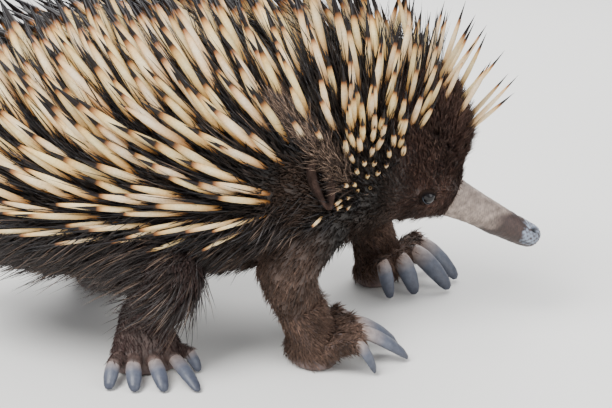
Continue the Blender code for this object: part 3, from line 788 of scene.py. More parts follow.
@dataclass
class Strands:
    """Tapered strands: each a path root + aim*L*t + bend*L*t^2 with rings round it.

    The rings are ovals, as wide as width*taper(t) across and flat times that in depth, and
    each strand closes in a cap at its root and a point at its tip.
    """

    spots: Spots
    aims: Array
    bends: Array
    lengths: Array
    widths: Array
    cut: Cut
    shades: Array | None = None
    tips: Array | None = None
    bands: Array | None = None
    patch: float = 0.003

    def shell(self, chosen: slice) -> Shell:
        """The arrays of some of the strands.

        Args:
            chosen: which strands.

        Returns:
            Their shell, with shades, bands and a chart patch for each strand.
        """
        cut = self.cut
        t = np.array(cut.stops)[None, :, None]
        aims, bends = self.aims[chosen][:, None], self.bends[chosen][:, None]
        length = self.lengths[chosen][:, None, None]
        root = self.spots.points[chosen][:, None] - aims * cut.sunk
        path = root + aims * length * t + bends * length * t**2
        run = unit(aims + 2 * bends * t)
        side = unit(np.cross(run, self.spots.normals[chosen][:, None]))
        other = np.cross(run, side)
        count, rows, sides = path.shape[0], len(cut.stops) - 1, cut.sides
        turn = full_turn(sides)[None, None, :, None]
        wide = self.widths[chosen][:, None, None, None] * np.array(cut.taper)[None, :-1, None, None]
        ring = (path[:, :-1, None] + side[:, :-1, None] * np.cos(turn) * wide
                + other[:, :-1, None] * np.sin(turn) * wide * cut.flat)
        points = np.concatenate([ring.reshape(count, rows * sides, 3), path[:, -1:]], axis=1)
        points[..., 2] = points[..., 2].clip(FLOOR_GAP, None)
        each = rows * sides + 1
        row, step = grid(np.arange(rows - 1), np.arange(sides))
        after = (step + 1) % sides
        quads = np.column_stack([row * sides + step, row * sides + after,
                                 (row + 1) * sides + after, (row + 1) * sides + step])
        ends = np.arange(sides)
        top = (rows - 1) * sides
        point = np.column_stack([ends + top, (ends + 1) % sides + top, np.full(sides, each - 1)])
        inner = np.arange(1, sides - 1)
        cap = np.column_stack([np.zeros(sides - 2, int), inner + 1, inner])
        tris = np.concatenate([point, cap])
        shift = (np.arange(count) * each)[:, None, None]
        low, high = t[0, row, 0], t[0, row + 1, 0]
        chart = [np.stack([np.column_stack([step, step + 1, step + 1, step]) / sides,
                           np.column_stack([low, low, high, high])], axis=-1).reshape(-1, 2)]
        last = float(cut.stops[-2])
        chart.append(np.stack([np.column_stack([ends, ends + 1, ends + 0.5]) / sides,
                               np.tile((last, last, 1.0), (sides, 1))], axis=-1).reshape(-1, 2))
        chart.append(np.tile((0.5, 0.02), (3 * (sides - 2), 1)))
        split = len(quads) * 4
        local = (np.concatenate(chart) - 0.5) * self.patch
        corners = self.spots.only(chosen).chart()[:, None] + local[None]
        corners = np.concatenate([part.reshape(-1, 2)
                                  for part in (corners[:, :split], corners[:, split:])])
        level = np.append(np.repeat(np.array(cut.stops[:-1]), sides), 1.0)[None, :, None]
        shades = bands = None
        if self.shades is not None:
            tips = self.shades if self.tips is None else self.tips
            start, end = self.shades[chosen][:, None], tips[chosen][:, None]
            shades = (start + (end - start) * level**1.3).reshape(-1, 3)
        if self.bands is not None:
            dark = self.bands[chosen][:, None]
            bands = np.where(level[..., 0] < dark, 0.7 * level[..., 0] / dark,
                             0.7 + 0.3 * (level[..., 0] - dark) / (1 - dark)).ravel()
        return Shell(points.reshape(-1, 3), (quads[None] + shift).reshape(-1, 4),
                     (tris[None] + shift).reshape(-1, 3), shades, bands, corners)

    def build(self, name: str, pieces: int) -> list[bpy.types.Object]:
        """The strands as objects of about equal size, named in order.

        Args:
            name: the start of their names.
            pieces: how many objects to share the strands among.

        Returns:
            The objects.
        """
        cuts = np.linspace(0, len(self.spots), pieces + 1).astype(int)
        return [self.shell(slice(low, high)).build(f"{name}_{number}")
                for number, (low, high) in enumerate(zip(cuts, cuts[1:]), 1)]


ROUGH, GLOSS = "Roughness", "Specular IOR Level"


class Nodes:
    """A short way to write a material: nodes are added in order and linked by socket."""

    def __init__(self, name: str) -> None:
        """Starts a material with its shader and output only.

        Args:
            name: the material's name.
        """
        self.material = bpy.data.materials.new(name)
        self.material.use_nodes = True
        self.tree = self.material.node_tree
        self.shader = self.tree.nodes["Principled BSDF"]

    def add(self, kind: str, **settings: object) -> bpy.types.Node:
        """A node of a kind, with its own settings set.

        Args:
            kind: the node's kind.
            settings: its own settings by name.

        Returns:
            The node.
        """
        node = self.tree.nodes.new("ShaderNode" + kind)
        for key, value in settings.items():
            setattr(node, key, value)
        return node

    def link(self, start: bpy.types.NodeSocket, end: bpy.types.NodeSocket) -> None:
        """A link from an output to an input."""
        self.tree.links.new(start, end)

    def attribute(self, name: str, output: str) -> bpy.types.NodeSocket:
        """An output of an attribute of the mesh."""
        return self.add("Attribute", attribute_name=name).outputs[output]

    def noise(self, scale: float, detail: float) -> bpy.types.NodeSocket:
        """A noise on Object coordinates, its scale in waves a metre.

        Args:
            scale: waves in a metre.
            detail: how many finer layers it has.

        Returns:
            The noise's output.
        """
        node = self.add("TexNoise")
        node.inputs["Scale"].default_value = scale
        node.inputs["Detail"].default_value = detail
        self.link(self.add("TexCoord").outputs["Object"], node.inputs["Vector"])
        return node.outputs["Fac"]

    def ramp(self, source: bpy.types.NodeSocket, stops: list[tuple]) -> bpy.types.NodeSocket:
        """A colour ramp of (place, colour) stops over a source.

        Args:
            source: what the ramp reads.
            stops: pairs of a place and a colour.

        Returns:
            The ramp's colour.
        """
        node = self.add("ValToRGB")
        ends = node.color_ramp.elements
        for place, colour in stops[1:-1]:
            ends.new(place).color = (*colour, 1)
        ends[0].position, ends[0].color = stops[0][0], (*stops[0][1], 1)
        ends[-1].position, ends[-1].color = stops[-1][0], (*stops[-1][1], 1)
        self.link(source, node.inputs["Fac"])
        return node.outputs["Color"]

    def times(self, first: bpy.types.NodeSocket,
              second: bpy.types.NodeSocket) -> bpy.types.NodeSocket:
        """The product of two colours.

        Args:
            first: one colour.
            second: the other colour.

        Returns:
            The product.
        """
        node = self.add("Mix", data_type="RGBA", blend_type="MULTIPLY")
        node.inputs[0].default_value = 1.0
        self.link(first, node.inputs[6])
        self.link(second, node.inputs[7])
        return node.outputs[2]

    def mottled(self, colour: bpy.types.NodeSocket, scale: float, detail: float,
                low: tuple, high: tuple) -> bpy.types.NodeSocket:
        """The colour times a noise that runs from the low colour to the high one."""
        return self.times(colour, self.ramp(self.noise(scale, detail), [(0.3, low), (0.7, high)]))

    def finish(self, colour: bpy.types.NodeSocket, levels: dict[str, float]) -> bpy.types.Material:
        """Puts the colour and the levels on the shader's own inputs, and gives the material.

        Args:
            colour: the colour's socket.
            levels: numbers by the name of their input.

        Returns:
            The material.
        """
        self.link(colour, self.shader.inputs["Base Color"])
        for name, level in levels.items():
            self.shader.inputs[name].default_value = level
        return self.material

    def bump(self, height: bpy.types.NodeSocket, strength: float, depth: float) -> None:
        """A bump of a depth in metres on the shader.

        Args:
            height: the height's socket.
            strength: its strength.
            depth: its depth in metres.
        """
        node = self.add("Bump")
        node.inputs["Strength"].default_value = strength
        node.inputs["Distance"].default_value = depth
        self.link(height, node.inputs["Height"])
        self.link(node.outputs[0], self.shader.inputs["Normal"])


@dataclass(frozen=True)
class SpineFinish:
    """Smooth horn: tan at the root, cream along its length, and a dark slender tip."""

    name: str = "spine horn"
    roughness: float = 0.38
    gloss: float = 0.25

    def material(self) -> bpy.types.Material:
        """Bands by the strand's own run, toned by its shade, with a faint streak.

        Returns:
            The finished material.
        """
        nodes = Nodes(self.name)
        band = nodes.attribute("band", "Fac")
        colour = nodes.ramp(band, [
            (0.0, (0.14, 0.05, 0.015)), (0.12, (0.52, 0.24, 0.07)), (0.3, (0.88, 0.60, 0.30)),
            (0.5, (0.95, 0.77, 0.50)), (0.62, (0.86, 0.55, 0.25)), (0.68, (0.34, 0.14, 0.05)),
            (0.72, (0.012, 0.007, 0.006)), (1.0, (0.005, 0.006, 0.010))])
        toned = nodes.times(colour, nodes.attribute("shade", "Color"))
        streaked = nodes.mottled(toned, 900, 2, (0.82, 0.8, 0.76), (1.0, 1.0, 1.0))
        nodes.bump(nodes.noise(2600, 2), 0.25, 0.0002)
        return nodes.finish(streaked, {ROUGH: self.roughness, GLOSS: self.gloss})


@dataclass(frozen=True)
class FurFinish:
    """Hair: the coat's own colour, lighter and darker from strand to strand."""

    name: str = "fur"
    roughness: float = 0.6
    spread: float = 0.5
    gloss: float = 0.2

    def material(self) -> bpy.types.Material:
        """The shade of each strand over a fine noise.

        Returns:
            The finished material.
        """
        nodes = Nodes(self.name)
        low, high = 1 - self.spread, 1 + self.spread
        colour = nodes.mottled(nodes.attribute("shade", "Color"), 700, 2, (low,) * 3, (high,) * 3)
        return nodes.finish(colour, {ROUGH: self.roughness, GLOSS: self.gloss})


@dataclass(frozen=True)
class SkinFinish:
    """Bare leathery skin: its own shade, pores and fine creases."""

    name: str = "skin"
    roughness: float = 0.6
    crease: float = 900.0
    depth: float = 0.0005
    gloss: float = 0.5

    def material(self) -> bpy.types.Material:
        """The shade over a mottling, with creases as bump.

        Returns:
            The finished material.
        """
        nodes = Nodes(self.name)
        colour = nodes.mottled(nodes.attribute("shade", "Color"), 260, 4,
                               (0.6, 0.58, 0.57), (1.15, 1.15, 1.15))
        nodes.bump(nodes.noise(self.crease, 3), 0.6, self.depth)
        return nodes.finish(colour, {ROUGH: self.roughness, GLOSS: self.gloss})


@dataclass(frozen=True)
class ClawFinish:
    """Blue-grey horn with a pale root and fine lines along it."""

    name: str = "claw horn"
    roughness: float = 0.42

    def material(self) -> bpy.types.Material:
        """A pale root by the band, darker towards the tip, and long streaks.

        Returns:
            The finished material.
        """
        nodes = Nodes(self.name)
        band = nodes.attribute("band", "Fac")
        colour = nodes.ramp(band, [(0.0, (0.30, 0.22, 0.18)), (0.2, (0.24, 0.205, 0.195)),
                                   (0.45, (0.085, 0.095, 0.125)), (1.0, (0.035, 0.04, 0.06))])
        streaked = nodes.mottled(colour, 420, 3, (0.75, 0.75, 0.78), (1.15, 1.15, 1.15))
        nodes.bump(nodes.noise(1500, 3), 0.4, 0.0003)
        return nodes.finish(streaked, {ROUGH: self.roughness})


@dataclass(frozen=True)
class EyeFinish:
    """A wet, near black eye."""

    name: str = "eye"
    roughness: float = 0.1
    gloss: float = 0.25
    coat: float = 0.15
    coat_roughness: float = 0.06

    def material(self) -> bpy.types.Material:
        """A dark brown that varies faintly, under a clear coat.

        Returns:
            The finished material.
        """
        nodes = Nodes(self.name)
        colour = nodes.ramp(nodes.noise(400, 2), [(0.3, (0.002, 0.0015, 0.002)),
                                                  (0.7, (0.006, 0.004, 0.004))])
        return nodes.finish(colour, {ROUGH: self.roughness, GLOSS: self.gloss,
                                     "Coat Weight": self.coat,
                                     "Coat Roughness": self.coat_roughness})


def dress(piece: bpy.types.Object, material: bpy.types.Material) -> None:
    """Gives a piece its material and slot, lets it ride on the body, and reports it.

    Args:
        piece: the piece.
        material: its material.
    """
    piece.data.materials.clear()
    piece.data.materials.append(material)
    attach(piece, "root")
    piece.data.calc_loop_triangles()
    log.info("%s: %d triangles", piece.name, len(piece.data.loop_triangles))


def strand_aims(lie: Array, normals: Array, rise: Array) -> Array:
    """Directions that rise by an angle in degrees from the lie towards the normal."""
    rise = np.radians(rise)[:, None]
    return unit(normals * np.sin(rise) + unit(lie - normals * dots(lie, normals)) * np.cos(rise))


def hollow(points: Array) -> Array:
    """How deep in the hollow behind the ear a point lies: 1 in its middle, 0 outside."""
    gap = np.hypot((points[:, 0] + 5) / 20, (points[:, 2] - 97) / 23)
    return 1 - ease(gap, 0.25, 1.0)


@dataclass
class SpineCoat:
    """The raised spines of the crown, back, flanks and tail, and the bristles among them."""

    row_step: float = 10.2
    side_step: float = 9.0
    width: float = 2.4
    bristle_count: int = 12000
    skirt_count: int = 26000

    def spots(self, draw: np.random.Generator, start: float, end: float, row_step: float,
              side_step: float) -> Spots:
        """Roots in staggered, shaken rows down to the hem of the spines.

        Args:
            draw: the seeded source of chance.
            start: the x of the hindmost row.
            end: the x of the foremost row.
            row_step: the distance between rows.
            side_step: the distance between roots in a row.

        Returns:
            The roots, without those in the hollow behind the ear.
        """
        rows = BODY.stops(float(BODY.place_at(start)), float(BODY.place_at(end)), row_step)
        places, angles = [], []
        for number, (low, high) in enumerate(zip(rows, rows[1:])):
            place = (low + high) / 2
            half = smooth(BODY.table, np.array([place]))[0]
            hem = float(np.interp(BODY.x_at(place), HEM_AT, HEM_ANGLES))
            count = max(4, round(math.radians(hem) * (half[3] + half[4]) / side_step))
            share = np.arange(count) + 0.5 + (0.25 if number % 2 else -0.25)
            share = share + draw.uniform(-0.3, 0.3, count)
            angles.append(-hem + 2 * hem / count * share)
            places.append(place + draw.uniform(-0.35, 0.35, count) * (high - low))
        place, angle = np.concatenate(places), np.concatenate(angles)
        points, normals = BODY.point(place, angle, -Skin.inset), BODY.normal(place, angle)
        made = Spots(points, normals, np.zeros(len(place), int), place, angle)
        ear = np.hypot((points[:, 0] - 12) / 9, (points[:, 2] - 105) / 17) < 1
        return made.only((hollow(points) < 0.12) & ~ear)

    @staticmethod
    def aims(spots: Spots, draw: np.random.Generator, swing: float, lift: float) -> Array:
        """The directions of the spines: backwards and up, raised from the skin, and shaken.

        Args:
            spots: places on the skin.
            draw: the seeded source of chance.
            swing: the most they turn aside, in degrees.
            lift: the most their rise is shaken, in degrees.

        Returns:
            One direction for each spine.
        """
        count = len(spots)
        rise = between(BODY.x_at(spots.place), spots.angle, RISE_AT, RISE_ON_BACK, RISE_ON_FLANK)
        lie = body_lie(spots.place, spots.angle)
        ridge = 1 + 2.2 * (1 - ease(np.abs(spots.angle), 6, 32))
        turn = np.radians(draw.uniform(-swing, swing, count) * ridge)[:, None]
        lie = lie * np.cos(turn) + np.cross(spots.normals, lie) * np.sin(turn)
        aims = strand_aims(lie, spots.normals, rise + draw.uniform(-lift, lift, count))
        crown = ease(BODY.x_at(spots.place), 34, 58) * (1 - ease(np.abs(spots.angle), 40, 78))
        upright = unit(spots.normals * 0.62 + np.array((0, 0, 0.62))
                       + draw.normal(0, 0.07, (count, 3)))
        return unit(aims + (upright - aims) * crown[:, None])

    def build(self, draw: np.random.Generator) -> list[bpy.types.Object]:
        """The spines: long on the back and flanks, thinner at the hem, stubs on the cheeks.

        Args:
            draw: the seeded source of chance.

        Returns:
            The spines' objects.
        """
        crown = self.spots(draw, 24, 74, 8.4, 8.0)
        cheek = self.spots(draw, 16, 60, 5.4, 5.4)
        spots = Spots.joined([self.spots(draw, -191, 24, self.row_step, self.side_step),
                              crown.only(np.abs(crown.angle) < 62),
                              cheek.only(np.abs(cheek.angle) >= 58)])
        x, count = BODY.x_at(spots.place), len(spots)
        length = between(x, spots.angle, LENGTH_AT, LENGTH_ON_BACK, LENGTH_ON_FLANK)
        length = length * draw.uniform(0.74, 1.06, count)
        low = ease(np.abs(spots.angle), 88, 108)
        bends = -spots.normals * 0.04 + draw.normal(0, 0.02, (count, 3))
        dark = np.interp(x, (-60, 30, 60), (0.77, 0.76, 0.80)) + draw.normal(0, 0.05, count)
        dark -= 0.10 * (1 - ease(np.abs(spots.angle), 20, 60)) * (1 - ease(x, 30, 50)) + 0.08 * low
        tone = draw.uniform(0.8, 1.06, count)[:, None] * np.ones(3)
        tone[:, 2] *= draw.uniform(0.78, 1.08, count)
        tone *= 1 - 0.16 * ease(x, 28, 55)[:, None]
        width = self.width * (0.42 + 0.58 * length / 52) * (1 - 0.45 * low)
        width = width * (1 - 0.3 * ease(x, 20, 50) * (np.abs(spots.angle) < 62))
        made = Strands(spots, self.aims(spots, draw, 8, 5), bends, length, width, SPINE_CUT,
                       tone, bands=dark.clip(0.55, 0.95))
        return made.build("spines", 1)

    def tail(self, draw: np.random.Generator) -> list[bpy.types.Object]:
        """A fan of spines round the stub of the tail, most of them on its upper side.

        Args:
            draw: the seeded source of chance.

        Returns:
            The spines' objects.
        """
        place, angle = grid(np.linspace(0.7, 2.8, 6), np.linspace(-135, 135, 11))
        place = place + draw.uniform(-0.15, 0.15, place.size)
        angle = angle + draw.uniform(-9, 9, angle.size)
        normals, count = TAIL.normal(place, angle), len(place)
        area = np.full(count, Area.TAIL.value)
        spots = Spots(TAIL.point(place, angle, -Skin.inset), normals, area, place, angle)
        upper = np.where(np.abs(angle) < 90, 0.14, -0.1)
        aims = unit(normals * 0.5 + np.column_stack([np.full(count, -0.85), np.zeros(count), upper])
                    + draw.normal(0, 0.06, (count, 3)))
        tone = draw.uniform(0.75, 1.02, count)[:, None] * np.ones(3)
        made = Strands(spots, aims, draw.normal(0, 0.03, (count, 3)), draw.uniform(20, 29, count),
                       draw.uniform(1.3, 1.7, count), TAIL_SPINE_CUT, tone,
                       bands=draw.uniform(0.62, 0.78, count))
        return made.build("tail_spines", 1)

    def bristles(self, skin: "Skin", draw: np.random.Generator) -> list[bpy.types.Object]:
        """Long thin black hairs that lie with the spines and fill the gaps between them.

        Args:
            skin: the bare skin.
            draw: the seeded source of chance.

        Returns:
            The bristles' objects.
        """
        def want(spots: Spots) -> Array:
            """Only on the spined part of the body, clear of the hollow and the ears.

            Args:
                spots: places on the skin.

            Returns:
                A share between 0 and 1 for each place.
            """
            hem = np.interp(BODY.x_at(spots.place), HEM_AT, HEM_ANGLES) + 6
            on = ((spots.area == Area.BODY.value) & (np.abs(spots.angle) < hem)
                  & (hollow(spots.points) < 0.1))
            x = spots.points[:, 0]
            crown = ease(x, 40, 52) * (1 - ease(x, 66, 73)) * (np.abs(spots.angle) < 40)
            return on * np.maximum(1 - ease(x, 52, 66), crown)
        spots = skin.roots(self.bristle_count, draw, want)
        x, count = BODY.x_at(spots.place), len(spots)
        length = between(x, spots.angle, LENGTH_AT, LENGTH_ON_BACK, LENGTH_ON_FLANK)
        length = length.clip(14, 60) * draw.uniform(0.45, 0.8, count)
        base = np.array((0.008, 0.007, 0.008)) * draw.lognormal(0, 0.3, count)[:, None]
        tips = base * 1.5 + (draw.random(count) < 0.05)[:, None] * np.array((0.16, 0.10, 0.06))
        bends = -spots.normals * 0.06 + draw.normal(0, 0.03, (count, 3))
        aims = unit(self.aims(spots, draw, 9, 4) - 0.16 * spots.normals)
        made = Strands(spots, aims, bends, length, draw.uniform(0.3, 0.5, count), BRISTLE_CUT,
                       base, tips)
        return made.build("bristles", 1)

    def skirt(self, skin: "Skin", draw: np.random.Generator) -> list[bpy.types.Object]:
        """Streams of long dark bristles below the hem, over the flank and the thigh.

        Args:
            skin: the bare skin.
            draw: the seeded source of chance.

        Returns:
            The bristles' objects.
        """
        def want(spots: Spots) -> Array:
            """A belt below the hem, and the outer side of the hind legs.

            Args:
                spots: places on the skin.

            Returns:
                A share between 0 and 1 for each place.
            """
            turned = np.abs(spots.angle)
            belt = (spots.area == Area.BODY.value) * ease(turned, 94, 104) * (1 - ease(turned, 128, 150))
            belt = belt * (1 - ease(spots.points[:, 0], -8, 14))
            thigh = (spots.area >= Area.HIND_R.value) * (turned < 100)
            return np.maximum(belt, thigh * (1 - ease(spots.place, 1.0, 1.7)))
        spots = skin.roots(self.skirt_count, draw, want)
        count, x = len(spots), spots.points[:, 0]
        length = np.interp(x, (-190, -120, -40, 10), (36, 34, 24, 16)) * draw.uniform(0.6, 1.1, count)
        lie = np.array((-0.86, 0.0, -0.38)) + draw.normal(0, 0.1, (count, 3))
        aims = strand_aims(lie, spots.normals, 15 + draw.uniform(-7, 8, count))
        base = np.array((0.013, 0.009, 0.008)) * draw.lognormal(0, 0.25, count)[:, None]
        pale = draw.random(count) < 0.14
        tips = np.where(pale[:, None], np.array((0.20, 0.13, 0.09)), base * 2.4)
        bends = -spots.normals * 0.12 + np.array((0.0, 0.0, -0.12))
        bends = bends + draw.normal(0, 0.03, (count, 3))
        made = Strands(spots, aims, bends, length, draw.uniform(0.28, 0.45, count), SKIRT_CUT,
                       base, tips)
        return made.build("skirt", 1)


@dataclass
class FurCoat:
    """The fur: dark underfur between the spines, and the short coat of face, belly and legs."""

    count: int = 205000
    pieces: int = 7

    @staticmethod
    def want(spots: Spots) -> Array:
        """The face is densest and the belly thinnest, and the lids stay bare.

        Args:
            spots: places on the skin.

        Returns:
            A share between 0 and 1 for each place.
        """
        x = spots.points[:, 0]
        brow = ease(x, 58, 70) * ease(spots.points[:, 2], 84, 108)
        share = np.where(x > 38, 0.85 + 0.15 * brow, 0.26)
        share = share * (1 - 0.3 * ease(np.abs(spots.angle), 130, 165) * (spots.area == Area.BODY.value))
        for side in (-1, 1):
            root, axes = Eye(side).axes()
            local = (spots.points - root) @ axes.T
            share = share * (np.hypot(local[:, 0] / 4.7, local[:, 1] / 3.5) > 1)
        return share

    @staticmethod
    def lie(spots: Spots) -> Array:
        """With the spines on the body, up over the face, and down and back over the legs.

        Args:
            spots: places on the skin.

        Returns:
            One direction for each place.
        """
        lie = body_lie(spots.place.clip(0, BODY.last), spots.angle)
        points = spots.points
        low = ease(-points[:, 2], -92, -74)[:, None]
        up = np.array((-0.42, 0.0, 0.9)) * (1 - low) + np.array((-0.9, 0.0, -0.22)) * low
        face = ease(points[:, 0], 30, 52)[:, None]
        lie = lie * (1 - face) + up * face
        for number, limb in enumerate(LIMBS, 1):
            down = limb.frame(spots.place.clip(0, 2))[1]
            lie = np.where((spots.area == number)[:, None],
                           down * 0.75 + np.array((-0.5, 0, -0.2)), lie)
        return np.where((spots.area == Area.TAIL.value)[:, None], np.array((-0.8, 0, -0.5)), lie)

    def build(self, skin: Skin, draw: np.random.Generator) -> list[bpy.types.Object]:
        """Tufts of three sides, each as long as its place asks.

        Args:
            skin: the bare skin.
            draw: the seeded source of chance.

        Returns:
            The tufts' objects.
        """
        spots = skin.roots(self.count, draw, self.want)
        count, x, z = len(spots), spots.points[:, 0], spots.points[:, 2]
        head = ease(x, 32, 50)
        brow = ease(x, 55, 72) * ease(z, 88, 118)
        legs = (spots.area > Area.BODY.value) & (spots.area < Area.TAIL.value)
        length = np.where(legs, 8.0, 12.5 - 4.5 * head - 1.5 * ease(x, 60, 76) + 4.5 * brow)
        cheek = ease(x, 8, 22) * (1 - ease(x, 48, 60)) * ease(-z, -128, -112) * ease(z, 66, 78)
        length = length * (1 - 0.4 * hollow(spots.points) - 0.4 * cheek)
        length = length * draw.uniform(0.7, 1.25, count)
        rise = np.where(legs, 20, 28 - 2 * head + 20 * brow) + draw.uniform(-9, 11, count)
        lie = self.lie(spots) + draw.normal(0, 0.16, (count, 3))
        aims = strand_aims(lie, spots.normals, rise)
        bends = -spots.normals * 0.16 + draw.normal(0, 0.05, (count, 3))
        width = np.where(legs, 0.38, 0.52 - 0.25 * head) * draw.uniform(0.75, 1.25, count)
        base = markings(spots)
        tone = draw.lognormal(0, 0.32, count)[:, None]
        fine = (draw.random(count) < 0.10 * head)[:, None] * np.array((0.10, 0.07, 0.05))
        tips = base * tone * (1.35 + 0.7 * head[:, None]) + fine
        made = Strands(spots, aims, bends, length, width, TUFT_CUT, base * 0.75, tips)
        return made.build("fur", self.pieces)


def turned_from(angle: Array) -> Array:
    """How far an angle in degrees is from the back, between 0 and 180."""
    return np.abs((angle + 180) % 360 - 180)


@dataclass
class Beak:
    """The bare beak: the lofted form with creases, two nostril pits and the mouth's line."""

    row_step: float = 0.34
    sides: int = 96
    nostril_x: float = 124.6
    nostril_angle: float = 37.0

    def build(self) -> bpy.types.Object:
        """The surface: the form's point, moved along its normal by creases and pits.

        Returns:
            The beak's object.
        """
        places = BEAK.stops(0, BEAK.last, self.row_step)
        place, angle = grid(places, np.linspace(0, 360, self.sides, endpoint=False))
        points, normals = BEAK.point(place, angle), BEAK.normal(place, angle)
        ahead, turned = BEAK.x_at(place), turned_from(angle)
        move = 0.10 * waves(points, 5.5, 21) + 0.06 * waves(points, 2.2, 22)
        move += 0.03 * waves(points, 1.1, 23)
        pad = ease(ahead, 116, 119) * (1 - ease(turned, 60, 100))
        move += pad * 0.22 * waves(points, 1.5, 24)
        move += 1.2 * (ease(ahead, 92, 106) * (1 - ease(ahead, 122, 129)) * ease(turned, 60, 130))
        pit = np.zeros(len(points))
        for side in (-1, 1):
            centre = BEAK.point(BEAK.place_at(np.array([self.nostril_x])),
                                np.array([self.nostril_angle * side]))[0]
            gap = np.linalg.norm((points - centre) * (0.75, 1.0, 1.0), axis=1)
            pit = np.maximum(pit, 1 - ease(gap, 1.1, 1.9))
            move += 0.4 * np.exp(-((gap - 2.3) / 0.6) ** 2)
        move -= 1.5 * pit
        mouth = np.exp(-((turned - 118) / 4.5) ** 2) * ease(ahead, 117, 121)
        move -= 0.5 * mouth
        points = points + normals * move[:, None]
        shell = tube(points.reshape(len(places), self.sides, 3))
        shell.shades = with_ends(self.shades(points, turned, ahead, pit, mouth))
        return shell.build("beak_skin")

    @staticmethod
    def shades(points: Array, turned: Array, ahead: Array, pit: Array, mouth: Array) -> Array:
        """Taupe grey that darkens to brown towards the tip below, pale blue round the nostrils, and
        painted shade in the nostril pits and along the mouth's line.

        Args:
            points: places in millimetres.
            turned: how far each point is from the back, in degrees.
            ahead: each point's x along the beak.
            pit: 1 inside a nostril.
            mouth: 1 on the mouth's line.

        Returns:
            One linear colour for each point.
        """
        taupe, dark = np.array((0.30, 0.235, 0.195)), np.array((0.036, 0.018, 0.014))
        pale = np.array((0.30, 0.36, 0.46))
        edge = ahead + 0.07 * (turned - 90) + 1.5 * waves(points, 9, 33)
        share = (0.22 * ease(edge, 84, 101) + 0.78 * ease(edge, 101, 107))[:, None]
        colour = taupe + (dark - taupe) * share
        mottle = 1 + 0.08 * waves(points, 6, 31) + 0.14 * waves(points, 1.9, 32)
        mottle = mottle + 0.14 * waves(points, 0.9, 34)
        colour = colour * mottle[:, None]
        tip = ease(ahead - 0.02 * turned + 0.8 * waves(points, 4, 35), 117.0, 119.0)
        patchy = (0.6 + 0.55 * waves(points, 2.3, 36)).clip(0.0, 1)
        tip = (tip * (1 - ease(turned, 112, 140)) * patchy)[:, None]
        colour = colour + (pale - colour) * tip * 0.85
        # Painted shade: the colour darkens almost to black inside the nostril pits and along the mouth's
        # line.
        pit_shade = np.maximum(pit, 0.8 * mouth)[:, None]
        return (colour * (1 - 0.95 * pit_shade)).clip(0.003, 1)


PALM_RINGS = ((0.92, 0.95), (0.62, 1.0), (0.35, 1.0), (0.12, 0.95), (0.02, 0.84))
CLAW_STOPS = (0, 0.3, 0.6, 0.86, 0.97, 1)
CLAW_WIDTHS, CLAW_DEPTHS = (1.0, 1.14, 1.08, 0.82, 0.5, 0.1), (0.98, 0.98, 0.88, 0.62, 0.3, 0.06)


